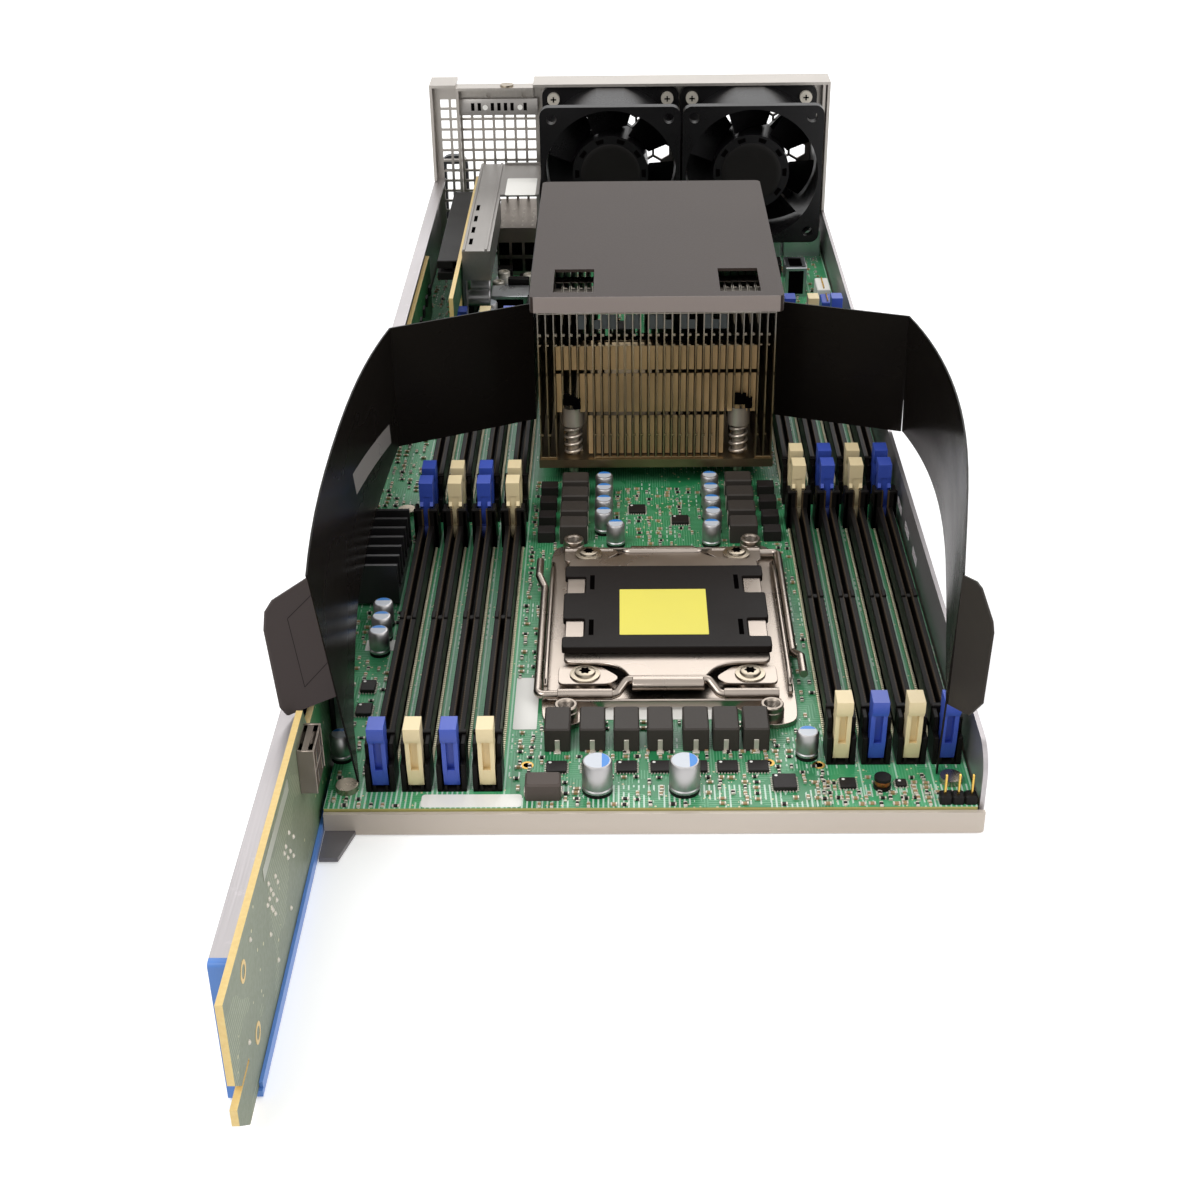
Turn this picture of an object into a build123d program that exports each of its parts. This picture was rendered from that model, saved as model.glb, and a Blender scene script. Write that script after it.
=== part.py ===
from build123d import *
import os
from math import cos, radians, sin

# A two-processor server node on a sheet metal sled, in millimetres.
# The origin is the centre of the tray's underside, +Y points to the fans, +Z is up.

# Tray, rail and board
TRAY_WIDTH = 176.0
TRAY_LENGTH = 433.0
SHEET = 1.2
SEAT_GAP = 0.3
RUNNING_FIT = 0.05
CUT_OVERRUN = 1.0
LIP_HEIGHT = 6.4
BEND_RADIUS = 0.8
RIGHT_WALL_HEIGHT = 23.0
RIGHT_WALL_SETBACK = 2.3
WALL_SLOT_LENGTH = 9.0
WALL_SLOT_HEIGHT = 3.0
WALL_SLOT_LIFT = 11.0
WALL_SLOT_PITCH = 17.0
WALL_SLOT_FROM_LIP = 118.0
WALL_SLOT_COUNT = 3
WALL_CORNER = 8.0
RAIL_HEIGHT = 38.0
RAIL_FLANGE = 4.5
RAIL_FOOT = 6.0
RAIL_OVERHANG = 89.0
CARD_NOTCH_WIDTH = 7.7
CARD_NOTCH_LENGTH = 34.0
STANDOFF_HEIGHT = 4.5
STANDOFF_RADIUS = 3.0
BOARD_THICKNESS = 1.6
BOARD_EDGE_GAP = 0.6
BOARD_FRONT_GAP = 0.3
BOARD_REAR_GAP = 3.3
SCREW_RADIUS = 1.5
SCREW_HEAD_RADIUS = 2.9
SCREW_HEAD_HEIGHT = 1.7
SCREW_DEPTH = 2.6
BOARD_HOLE_RADIUS = 1.75
GUSSET_WIDTH = 7.9
GUSSET_REACH = 11.0
GUSSET_TIP = 2.4

FRONT = -TRAY_LENGTH / 2
REAR = TRAY_LENGTH / 2
SIDE = TRAY_WIDTH / 2
SIDE_INNER = SIDE - SHEET
PANEL_INNER = REAR - SHEET
BOARD_BOTTOM = SHEET + STANDOFF_HEIGHT
BOARD_TOP = BOARD_BOTTOM + BOARD_THICKNESS
BOARD_SIDE = SIDE_INNER - BOARD_EDGE_GAP
BOARD_FRONT = FRONT + SHEET + BOARD_FRONT_GAP
BOARD_REAR = PANEL_INNER - BOARD_REAR_GAP
NOTCH_X = -SIDE + CARD_NOTCH_WIDTH

# Rear panel and its grilles
PANEL_HEIGHT = 81.0
PANEL_FLANGE = 6.0
PANEL_RIM = 7.5
MESH_PITCH_X = 4.8
MESH_PITCH_Z = 4.65
MESH_HOLE = 3.7
MESH_COLUMNS = 9
MESH_ROWS = 13
MESH_LEFT_MARGIN = 3.4
MESH_TOP_MARGIN = 7.2
HEX_PITCH = 7.6
HEX_WEB = 1.0
HEX_RINGS = 4
HEX_TURN = 30.0
STRAP_INSET = 11.6
STRAP_DEPTH = 6.5
STRAP_PLATE_WIDTH = 34.0
STRAP_PLATE_DROP = 6.4
STRAP_HOLE_RADIUS = 1.2
STRAP_FOOT_LIFT = 12.0
STRAP_SCREW_SHARE = 0.66
STRAP_HOLE_SHARES = (0.42, 0.88)

# Fans
FAN_SIZE = 60.0
FAN_DEPTH = 38.0
FAN_PITCH = 60.9
FAN_LEFT_X = -8.5
FAN_LIFT = 19.5
FAN_FLANGE = 4.4
FAN_CORNER = 4.0
FAN_BARREL_RADIUS = 30.6
FAN_DUCT_RADIUS = 28.4
FAN_HOLE_SPACING = 50.0
FAN_HOLE_RADIUS = 2.2
FAN_HUB_RADIUS = 16.4
FAN_HUB_LENGTH = 22.0
FAN_HUB_SETBACK = 4.6
FAN_HUB_WALL = 1.6
FAN_TIP_GAP = 0.9
FAN_BLADES = 7
FAN_ROOT_CHORD = 21.0
FAN_TIP_CHORD = 28.0
FAN_BLADE_THICKNESS = 1.3
FAN_BLADE_CAMBER = 2.4
FAN_ROOT_ANGLE = 46.0
FAN_TIP_ANGLE = 36.0
FAN_STATOR_RADIUS = 15.0
FAN_STATOR_LENGTH = 4.0
FAN_STRUT_WIDTH = 3.0
FAN_STRUTS = 4
FAN_STRUT_TURN = 45.0
FAN_SHAFT_RADIUS = 1.5
FAN_BEARING_RADIUS = 4.0
FAN_BEARING_LENGTH = 12.0
FAN_SCREW_RADIUS = 2.0
FAN_SCREW_HEAD_RADIUS = 2.7
FAN_SCREW_HEAD = 2.2

FAN_REAR = PANEL_INNER
FAN_FRONT = FAN_REAR - FAN_DEPTH
FAN_Z = FAN_LIFT + FAN_SIZE / 2
FAN_CENTRES = {"left": FAN_LEFT_X, "right": FAN_LEFT_X + FAN_PITCH}

# Memory sockets and latches
SOCKET_WIDTH = 7.6
SOCKET_PITCH = 9.23
SOCKETS_PER_BANK = 4
SOCKET_LENGTH = 139.8
SOCKET_BAR_HEIGHT = 9.5
TOWER_HEIGHT = 13.0
TOWER_LENGTH = 9.0
GROOVE_WIDTH = 1.6
GROOVE_DEPTH = 6.5
KEY_LENGTH = 2.2
KEY_SHARE = 0.54
LATCH_WIDTH = 4.2
LATCH_SIDE_GAP = 0.15
LATCH_REACH = 6.1
LATCH_HEIGHT = 17.4
LATCH_HEEL_RADIUS = 2.6
LATCH_PIVOT_LIFT = 3.3
LATCH_PIVOT_INSET = 3.4
LATCH_GROOVE_WIDTH = 2.0
LATCH_GROOVE_DEPTH = 1.4
LATCH_SWEEP_GAP = 0.4
# Latch side outline: reach from the pivot as a share of LATCH_REACH, height as a share of LATCH_HEIGHT
LATCH_OUTLINE_SHARES = (
    (-0.30, 0.00), (-0.10, 0.50), (-0.30, 0.545), (-0.10, 0.62), (-0.14, 0.74), (-0.14, 1.00),
    (0.86, 1.00), (0.86, 0.77), (0.62, 0.70), (0.55, 0.15), (0.34, 0.08),
)
LATCH_GROOVE_LOW_SHARE = 0.22
LATCH_GROOVE_HIGH_SHARE = 0.68
BANK_LEFT_X = -52.55
BANK_RIGHT_X = 67.15
BANK_LEFT_MARGIN = 8.4
BANK_RIGHT_MARGIN = 19.6
BANK_GAP = 8.5

BANK_PITCH = SOCKET_LENGTH + BANK_GAP
BANK_LEFT_Y = FRONT + BANK_LEFT_MARGIN + SOCKET_LENGTH / 2
BANK_RIGHT_Y = FRONT + BANK_RIGHT_MARGIN + SOCKET_LENGTH / 2
BANKS = {
    "front_left": (BANK_LEFT_X, BANK_LEFT_Y),
    "front_right": (BANK_RIGHT_X, BANK_RIGHT_Y),
    "rear_left": (BANK_LEFT_X, BANK_LEFT_Y + BANK_PITCH),
    "rear_right": (BANK_RIGHT_X, BANK_RIGHT_Y + BANK_PITCH),
}
LATCH_PIVOT_Z = BOARD_TOP + LATCH_PIVOT_LIFT

# Power inductors, whose front row sets the place of the front processor
CHOKE_X = 6.8
CHOKE_Y = 7.2
CHOKE_HEIGHT = 6.8
CHOKE_REAR_SHARE = 1.3
CHOKE_FRONT_SHARES = (-0.282, -0.173, -0.059, 0.053, 0.168, 0.272, 0.372)
CHOKE_FRONT_FROM_LIP = 29.5
CHOKE_REAR_SHARES = (-0.222, 0.399)
CHOKE_ROW_GAP = 3.4
CHOKE_ROW_START = 2.0

# Processor sockets and their retention
CPU_FRONT_X = 8.7
CPU_REAR_X = 7.6
CPU_GAP = 2.7
STUD_SPACING_X = 56.0
STUD_SPACING_Y = 94.0
STUD_RADIUS = 3.4
STUD_THREAD_RADIUS = 1.65
STUD_HEIGHT = 5.7
SOCKET_BODY_X = 52.0
SOCKET_BODY_Y = 52.0
SOCKET_BODY_HEIGHT = 3.3
FRAME_THICKNESS = 1.5
FRAME_X = 69.6
FRAME_Y = 88.0
FRAME_LUG_RADIUS = 4.6
FRAME_RAIL_HEIGHT = 3.2
FRAME_BOSS_RADIUS = 4.2
FRAME_SCREW_SPACING_X = 46.2
FRAME_SCREW_SPACING_Y = 69.4
FRAME_SCREW_OFFSET_Y = 4.3
FRAME_SCREW_HEAD_RADIUS = 4.3
FRAME_SCREW_HEAD_HEIGHT = 1.3
FRAME_SCREW_SOCKET_RADIUS = 1.6
WIRE_RADIUS = 1.2
WIRE_BEND_RADIUS = 1.9
CRANK_LIFT = 3.0
CRANK_FROM_CENTRE = 38.4
CRANK_REAR_FROM_CENTRE = 42.1
CRANK_BEARING_WIDTH = 3.0
CRANK_BEARING_LENGTH = 4.6
CRANK_BEARING_OFFSET = 16.9
CRANK_THROW = 3.7
CRANK_RISE = 2.5
CRANK_HALF_WIDTH = 11.3
CRANK_SLOPE = 3.0
CRANK_END_X = 29.0
LEVER_ARM_X = 36.2
LEVER_ARM_LENGTH = 59.0
LEVER_HANDLE_BULGE = 1.8
LEVER_HANDLE_LENGTH = 14.0
LEVER_HANDLE_RISE = 1.6
PLATE_THICKNESS = 1.2
PLATE_LIFT = 4.5
PLATE_X = 57.0
PLATE_Y = 58.6
PLATE_OFFSET_Y = 4.0
PLATE_WINDOW_X = 38.0
PLATE_WINDOW_Y = 34.0
TONGUE_X = 20.0
TONGUE_DROP = 1.5
TONGUE_SLOPE = 3.0
CAP_X = 59.8
CAP_Y = 47.0
CAP_THICKNESS = 2.2
CAP_OFFSET_Y = 2.0
CAP_PLUG_INSET = 0.5
CAP_NOTCH_DEPTH = 4.4
CAP_NOTCH_LENGTH = 5.0
CAP_NOTCH_OFFSET = 9.5
CAP_SLOT_WIDTH = 1.2
CAP_RADIUS = 2.0
PACKAGE_X = 36.0
PACKAGE_Y = 32.0

FRAME_REACH = STUD_SPACING_Y / 2 + FRAME_LUG_RADIUS
CPU_FROM_LIP = CHOKE_FRONT_FROM_LIP + CHOKE_Y / 2 + CPU_GAP + FRAME_REACH
CPU_FRONT = (CPU_FRONT_X, FRONT + CPU_FROM_LIP)
CPU_REAR = (CPU_REAR_X, FRONT + CPU_FROM_LIP + BANK_PITCH)
STUD_TOP = BOARD_TOP + STUD_HEIGHT
SOCKET_BODY_TOP = BOARD_TOP + SOCKET_BODY_HEIGHT
CRANK_Z = BOARD_TOP + CRANK_LIFT

# Heatsink, hood and air flaps
HEATSINK_X = 79.0
HEATSINK_Y = 106.8
HEATSINK_LIFT = 7.1
HEATSINK_BASE = 3.0
FIN_COUNT = 31
FIN_THICKNESS = 0.4
FIN_HEIGHT = 52.3
FIN_SETBACK = 1.0
FIN_NOTCH_HEIGHT = 18.5
FIN_NOTCH_HALF = 5.4
FIN_NOTCH_LENGTH = 12.0
SPRING_RADIUS = 3.3
SPRING_BORE = 2.2
SPRING_LENGTH = 10.4
HEAT_SCREW_RADIUS = 2.0
HEAT_SCREW_HEAD_RADIUS = 3.8
HEAT_SCREW_HEAD = 6.5
HEAT_SCREW_HEX = 2.0
HEAT_SCREW_GAP = 0.1
HOOD_X = 82.5
HOOD_Y = 122.0
HOOD_SHEET = 1.0
HOOD_LIP = 5.4
HOOD_OVERHANG = 0.8
HOOD_CORNER = 2.0
WINDOW_X = 13.2
WINDOW_Y = 21.3
WINDOW_FROM_FRONT = 4.6
WINDOW_LEFT_FROM_SIDE = 7.6
WINDOW_RIGHT_FROM_SIDE = 7.3
FILM = 0.5
FILM_TOP = 65.0
FILM_FOOT = 0.5
FLAP_TAB_LENGTH = 84.0
FLAP_ROOT_SETBACK = 22.2
FLAP_TAB_RISE = 2.0

HEATSINK_FRONT = CPU_REAR[1] - HEATSINK_Y / 2
FLAP_REACH = HEATSINK_FRONT - FRONT + FLAP_ROOT_SETBACK
HEATSINK_Z = BOARD_TOP + HEATSINK_LIFT
FIN_Z = HEATSINK_Z + HEATSINK_BASE
FIN_TOP = FIN_Z + FIN_HEIGHT
HOOD_X0 = CPU_REAR_X - HOOD_X / 2
HOOD_X1 = CPU_REAR_X + HOOD_X / 2
HOOD_Y0 = HEATSINK_FRONT + FIN_SETBACK - HOOD_OVERHANG
HOOD_Z0 = FIN_TOP + SEAT_GAP
HOOD_TOP = HOOD_Z0 + HOOD_LIP
# Flap plans: x as a share of half the tray's width, distance from the lip as a share of FLAP_REACH
LEFT_FLAP_TOP_SHARES = ((-0.900, 0.8946), (-0.948, 0.7453), (-0.972, 0.487), (-0.962, 0.2753), (-0.930, 0.09952))
LEFT_FLAP_FOOT_SHARES = ((-0.900, 0.8946), (-0.910, 0.6987), (-0.898, 0.4446), (-0.862, 0.2329), (-0.822, 0.05611))
RIGHT_FLAP_TOP_SHARES = ((1.028, 0.9295), (1.085, 0.7411), (1.070, 0.5082), (0.985, 0.2647), (0.912, 0.0974))
RIGHT_FLAP_FOOT_SHARES = ((1.040, 0.9316), (1.085, 0.7411), (1.035, 0.487), (0.945, 0.2541), (0.880, 0.07199))
# Lower edge of each flap: distance from the lip as a share of FLAP_REACH, height as a share of FILM_TOP
LEFT_FLAP_EDGE_SHARES = ((0.974, 0.346), (0.4023, 0.346), (0.1313, 0.245), (0.06352, 0.12))
RIGHT_FLAP_EDGE_SHARES = ((0.974, 0.362), (0.4235, 0.375), (0.18, 0.450), (0.08152, 0.450), (0.08152, 0.12))
# Ears folded forward and outward: angle from straight ahead, then an outline with the reach from the
# fold as a share of EAR_REACH and the height as a share of FILM_TOP
EAR_REACH = 28.5
LEFT_EAR_ANGLE = 20.0
RIGHT_EAR_ANGLE = 5.0
LEFT_EAR_SHARES = (
    (0.0, 0.99), (0.56, 1.025), (0.70, 1.01), (0.775, 0.955), (0.83, 0.66), (0.76, 0.61), (0.63, 0.592), (0.0, 0.50),
)
RIGHT_EAR_SHARES = (
    (0.0, 0.99), (0.36, 1.05), (0.52, 1.06), (0.90, 1.02), (0.96, 0.99), (0.95, 0.70), (0.66, 0.57), (0.0, 0.44),
)

# Adapter card in its guide
GUIDE_WALL = 1.6
GUIDE_REACH = 2.0
GUIDE_BACK = 26.0
GUIDE_LIP = 1.6
GUIDE_GAP = 0.1
CARD_THICKNESS = 1.6
CARD_TOP = 40.8
CARD_FRONT = 105.8
CARD_BACK = 33.6
CARD_STEP_FROM_LIP = 3.6
CARD_STEP_DROP = 8.0
CARD_SPLIT_Z = 14.6
CARD_CHAMFER = 4.6
TONGUE_SLIT = 0.9
CARD_TONGUE_ROOT = 93.3
CARD_TONGUE_TIP = 107.0
CARD_TONGUE_CHAMFER = 7.5
ADAPTER_CONNECTOR_WALL = 1.5
ADAPTER_CONNECTOR_NOSE = 5.0
ADAPTER_CONNECTOR_Y = 7.0
ADAPTER_CONNECTOR_Z = 16.0
CARD_SHELL_X = 4.2
CARD_SHELL_Y = 12.0
CARD_SHELL_Z = 12.4
CARD_SHELL_TOP = 37.6
CARD_SHELL_FROM_LIP = 4.2

CARD_X = -SIDE + RAIL_FLANGE + SEAT_GAP

# Riser at the rear left
RISER_X = -68.8
RISER_GAP = 11.0
RISER_REAR_GAP = 7.8
RISER_OVERHANG = 35.0
RISER_OVERHANG_Z = 29.4
RISER_TOP = 41.0
RISER_SLOT_HEIGHT = 11.0
RISER_SLOT_WIDTH = 7.5
RISER_SLOT_INSET = 18.5
RISER_SLOT_REAR_GAP = 9.0
RISER_SLOT_FLOOR = 4.0
RISER_PORT_WIDTH = 8.6
RISER_PORT_HEIGHT = 8.0
RISER_PORT_LIFT = 24.0
RISER_PORT_MOUTH_SHARE = 0.7
BRACKET_TOP = 46.5
BRACKET_SHEET = 1.0
BRACKET_STRIP = 11.0
BRACKET_INSET = 1.5
BRACKET_CROSS_SHARE = 0.617
BRACKET_CROSS_X = 27.4
BRACKET_DROP = 12.0
BRACKET_FOOT = 7.0
BRACKET_X = -66.4
SIDE_CARD_X = -84.6
SIDE_CARD_FROM_LIP = 250.0
SIDE_CARD_LENGTH = 92.0
SIDE_CARD_TOP = 33.0
SIDE_CARD_SOCKET = 5.0

RISER_FRONT = BANKS["rear_left"][1] + SOCKET_LENGTH / 2 + RISER_GAP
RISER_REAR = PANEL_INNER - RISER_REAR_GAP
RISER_SLOT_FRONT = RISER_FRONT + RISER_SLOT_INSET
RISER_SLOT_REAR = RISER_REAR - RISER_SLOT_REAR_GAP

# Small parts on the board. Their places are (across, along) shares: across is a share of half the tray's
# width, and along is a share of a zone. The front zone runs from the lip to the front processor's centre
# and is counted on past it, the middle zone lies between its frame and the heatsink, and the rear zone
# between the memory and the panel.
CAP_RADIUS_LARGE = 4.0
CAP_HEIGHT_LARGE = 9.5
CAP_RADIUS_SMALL = 3.0
CAP_HEIGHT_SMALL = 8.0
CAP_BASE_HEIGHT = 1.2
CAP_ROW_PITCH = 8.6
CAP_ROW_START = 1.7
CAPACITOR_LARGE_SHARES = ((-0.119, 0.1016), (0.136, 0.1016))
CAPACITOR_FRONT_SHARES = ((0.509, 0.2725), (-0.850, 1.050), (-0.846, 0.961), (-0.845, 0.870), (-0.890, 0.270))
CAPACITOR_FIRST_ROW_SHARES = (-0.068, 0.280)
CAPACITOR_ROW_SHARES = (-0.112, 0.289)
CAPACITOR_REAR_SHARES = ((-0.545, 0.110), (-0.475, 0.110), (0.930, 0.086), (0.720, 0.144), (-0.270, 0.189))
SCREW_FRONT_SHARES = ((-0.855, 0.109), (0.920, 0.1412), (-0.857, 1.868), (-0.852, 2.779))
SCREW_REAR_SHARES = ((-0.180, 0.086), (0.511, 0.086), (-0.300, 0.904), (0.300, 0.759))
STAGE_X = 5.6
STAGE_Y = 5.0
STAGE_HEIGHT = 3.8
STAGE_REAR_SHARES = (-0.322, 0.505)
DRIVER_X = 5.0
DRIVER_Y = 5.0
DRIVER_HEIGHT = 1.0
DRIVER_GAP = 6.2
# Chips: places as above, and width, depth and height
CHIP_FRONT_SHARES = (
    (0.431, 0.1263), (-0.858, 0.654), (-0.855, 0.520), (-0.277, 0.0842), (0.616, 0.1238), (0.772, 0.1238),
    (0.715, 0.1115),
)
CHIP_FRONT_SIZES = (
    (7.0, 7.0, 1.4), (5.0, 6.2, 1.3), (5.2, 6.2, 1.3), (9.2, 6.2, 5.0), (5.0, 5.0, 1.0), (3.6, 3.6, 1.0),
    (4.4, 4.4, 3.6),
)
CHIP_MIDDLE_SHARES = ((0.012, 0.580), (0.172, 0.400))
CHIP_MIDDLE_SIZE = (6.4, 6.0, 1.2)
CHIP_REAR_SHARES = (
    (-0.300, 0.450), (0.150, 0.276), (0.480, 0.379), (-0.640, -0.040), (0.680, 0.310), (0.050, 0.551),
)
CHIP_REAR_SIZES = (
    (20.0, 20.0, 2.0), (14.0, 14.0, 1.6), (10.0, 14.0, 1.2), (9.0, 7.0, 1.2), (9.0, 6.0, 1.4),
    (12.0, 8.0, 1.2),
)
HEADER_X = 9.6
HEADER_Y = 3.2
HEADER_HEIGHT = 2.6
HEADER_PIN = 0.64
HEADER_PIN_HEIGHT = 8.4
HEADER_PINS = 3
HEADER_PITCH = 3.4
HEADER_SHARE = 0.925
HEADER_FROM_LIP = 3.6
CHIPSET_X = 14.2
CHIPSET_Y = 37.0
CHIPSET_BASE = 3.0
CHIPSET_HEIGHT = 13.0
CHIPSET_FINS = 7
CHIPSET_FIN = 1.2
CHIPSET_CENTRE_X = -78.4
CHIPSET_FROM_LIP = 120.5
CHIPSET_DIE = 1.4

# Rear connectors
PORT_FRONT_GAP = 0.2
LAN_X = 16.0
LAN_HEIGHT = 11.6
LAN_DEPTH = 21.0
LAN_CENTRES = (77.0, 59.4)
USB_X = 13.4
USB_HEIGHT = 11.6
USB_DEPTH = 17.0
USB_CENTRE = 42.0
VIDEO_X = 30.8
VIDEO_HEIGHT = 11.4
VIDEO_DEPTH = 12.0
VIDEO_CENTRE = 14.5
PORT_MOUTH_INSET = 1.2
PORT_MOUTH_DEPTH = 10.0
PORT_WINDOW_GAP = 0.4

# Release lever outside the rear panel
LEVER_X = -79.6
LEVER_WIDTH = 12.4
LEVER_THICKNESS = 3.2
LEVER_PIVOT_Z = 9.0
LEVER_LOOP_TOP = 47.0
LEVER_LOOP_WALL = 2.6
LEVER_LOOP_BOTTOM = 20.0
LEVER_BARREL_RADIUS = 3.0
LEVER_PIN_RADIUS = 1.4
LEVER_EAR = 1.6
LEVER_EAR_GAP = 0.25
LEVER_STANDOFF = 4.2
LEVER_CORNER_SHARE = 0.8
LEVER_LOOP_END_SHARE = 1.5


def slab(x0, x1, y0, y1, z0, z1):
    """A block between two opposite corners."""
    block = Box(x1 - x0, y1 - y0, z1 - z0)
    return Pos((x0 + x1) / 2, (y0 + y1) / 2, (z0 + z1) / 2) * block


def block_at(x, y, z0, width, depth, height):
    """A block centred on a point, standing on z0."""
    return Pos(x, y, z0 + height / 2) * Box(width, depth, height)


def post(x, y, z0, z1, radius):
    """An upright round post."""
    return Pos(x, y, (z0 + z1) / 2) * Cylinder(radius, z1 - z0)


def rod_x(x0, x1, y, z, radius):
    """A round rod along X."""
    return Pos((x0 + x1) / 2, y, z) * Rot(0, 90, 0) * Cylinder(radius, x1 - x0)


def rod_y(x, y0, y1, z, radius):
    """A round rod along Y."""
    return Pos(x, (y0 + y1) / 2, z) * Rot(90, 0, 0) * Cylinder(radius, y1 - y0)


def side_shape(points, x0, x1):
    """A closed (y, z) outline carried along X."""
    face = make_face(Polyline(*points, close=True))
    return extrude(Plane.YZ.offset(x0) * face, amount=x1 - x0)


def front_shape(points, y0, y1):
    """A closed (x, z) outline carried along Y."""
    face = make_face(Polyline(*points, close=True))
    return extrude(Plane.XZ.offset(-y1) * face, amount=y1 - y0)


def plan_shape(points, z0, z1):
    """A closed (x, y) outline carried along Z."""
    face = make_face(Polyline(*points, close=True))
    return extrude(Plane.XY.offset(z0) * face, amount=z1 - z0)


def solids_of(shape):
    """The separate solids in a shape or a list of shapes."""
    if isinstance(shape, (list, tuple)):
        return [one for item in shape for one in solids_of(item)]
    return list(shape.solids())


def save(name, shape):
    """One STEP file for one named node."""
    solids = solids_of(shape)
    whole = solids[0] if len(solids) == 1 else Compound(solids)
    export_step(whole, os.path.join("parts", name + ".step"))


def places(shares, start, length):
    """Plan places from shares of half the tray's width and of a length counted from start."""
    return [(across * SIDE, start + along * length) for across, along in shares]


def front_places(shares):
    """Places counted from the lip, in distances from it to the front processor."""
    return places(shares, FRONT, CPU_FROM_LIP)


def middle_zone():
    """Start and length of the strip between the front processor's frame and the heatsink."""
    start = CPU_FRONT[1] + FRAME_REACH
    return start, HEATSINK_FRONT - start


def rear_places(shares):
    """Places counted from the riser card's front end back to the panel."""
    return places(shares, RISER_FRONT, REAR - RISER_FRONT)


def screw_places():
    """Places of the screws that hold the board."""
    return front_places(SCREW_FRONT_SHARES) + rear_places(SCREW_REAR_SHARES)


def make_tray():
    """Floor, front lip and low right wall, folded from one sheet."""
    floor = slab(-SIDE_INNER, SIDE, FRONT, PANEL_INNER, 0, SHEET)
    lip = slab(NOTCH_X, SIDE, FRONT, FRONT + SHEET, 0, LIP_HEIGHT)
    wall = slab(SIDE_INNER, SIDE, FRONT + RIGHT_WALL_SETBACK, PANEL_INNER, 0, RIGHT_WALL_HEIGHT)
    corner = wall.edges().filter_by(Axis.X).group_by(Axis.Z)[-1].sort_by(Axis.Y)[0]
    wall = fillet(corner, WALL_CORNER)
    notch = slab(-SIDE, NOTCH_X, FRONT - CUT_OVERRUN, FRONT + CARD_NOTCH_LENGTH, -SHEET, SHEET * 2)
    tray = floor + lip + wall - notch
    for index in range(WALL_SLOT_COUNT):
        y0 = FRONT + WALL_SLOT_FROM_LIP + index * WALL_SLOT_PITCH
        z0 = WALL_SLOT_LIFT
        tray -= slab(SIDE_INNER - CUT_OVERRUN, SIDE + CUT_OVERRUN, y0, y0 + WALL_SLOT_LENGTH, z0,
                     z0 + WALL_SLOT_HEIGHT)
    low_edges = tray.edges().filter_by(Axis.Y).sort_by(Axis.Z)
    outer = [edge for edge in low_edges if abs(edge.center().X - SIDE) < SHEET / 4 and edge.center().Z < SHEET / 4]
    return fillet(outer, BEND_RADIUS)


def make_gusset():
    """Small tapered steel tab ahead of the lip, under the card guide's inner side."""
    x1 = NOTCH_X + GUSSET_WIDTH
    points = ((NOTCH_X, FRONT), (x1, FRONT), (NOTCH_X + GUSSET_TIP * 2, FRONT - GUSSET_REACH),
              (NOTCH_X, FRONT - GUSSET_REACH))
    return plan_shape(points, 0, SHEET)


def make_rail():
    """Steel channel along the left side, longer than the tray at the front."""
    y0 = FRONT - RAIL_OVERHANG
    wall = slab(-SIDE, -SIDE_INNER, y0, PANEL_INNER, 0, RAIL_HEIGHT)
    flange = slab(-SIDE, -SIDE + RAIL_FLANGE, y0, PANEL_INNER, RAIL_HEIGHT - SHEET, RAIL_HEIGHT)
    foot = slab(-SIDE, -SIDE_INNER + RAIL_FOOT, FRONT + CARD_NOTCH_LENGTH, PANEL_INNER, SHEET, SHEET * 2)
    return wall + flange + foot


def make_guide():
    """Blue plastic channel inside the rail's front end, closed by a rounded end cap."""
    y0 = FRONT - RAIL_OVERHANG
    y1 = FRONT + GUIDE_BACK
    wall_x = -SIDE_INNER + GUIDE_GAP
    lip_x = CARD_X + CARD_THICKNESS + GUIDE_GAP
    top = RAIL_HEIGHT - SHEET - GUIDE_GAP
    wall = slab(wall_x, wall_x + GUIDE_WALL, y0, y1, 0, top)
    floor = slab(wall_x, lip_x + GUIDE_LIP / 2, y0, y1, 0, GUIDE_WALL)
    lip = slab(lip_x, lip_x + GUIDE_LIP / 2, y0, y1, 0, GUIDE_WALL * 2)
    cap = slab(-SIDE, CARD_X - GUIDE_GAP, y0 - GUIDE_REACH, y0, 0, RAIL_HEIGHT)
    cap = fillet(cap.edges().filter_by(Axis.X).group_by(Axis.Y)[0], GUIDE_REACH / 2)
    sole = slab(-SIDE, lip_x + GUIDE_LIP / 2, y0 - GUIDE_REACH / 2, y0, 0, GUIDE_WALL)
    return wall + floor + lip + cap + sole


def make_adapter_card():
    """Upright circuit card with a chamfered front edge and a separate lower tongue."""
    y0 = FRONT - CARD_FRONT
    y1 = FRONT + CARD_BACK
    y_step = FRONT - CARD_STEP_FROM_LIP
    low = GUIDE_WALL + GUIDE_GAP
    points = (
        (y1, low), (y1, CARD_TOP - CARD_STEP_DROP), (y_step + CARD_STEP_DROP / 2, CARD_TOP - CARD_STEP_DROP),
        (y_step, CARD_TOP), (y0, CARD_TOP), (y0, CARD_SPLIT_Z + CARD_CHAMFER),
        (y0 + CARD_CHAMFER, CARD_SPLIT_Z), (FRONT - CARD_TONGUE_ROOT, CARD_SPLIT_Z),
        (FRONT - CARD_TONGUE_ROOT, CARD_SPLIT_Z - TONGUE_SLIT),
        (FRONT - CARD_TONGUE_TIP, CARD_SPLIT_Z - TONGUE_SLIT),
        (FRONT - CARD_TONGUE_TIP, low + CARD_TONGUE_CHAMFER),
        (FRONT - CARD_TONGUE_TIP + CARD_TONGUE_CHAMFER, low),
    )
    return side_shape(points, CARD_X, CARD_X + CARD_THICKNESS)


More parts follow.
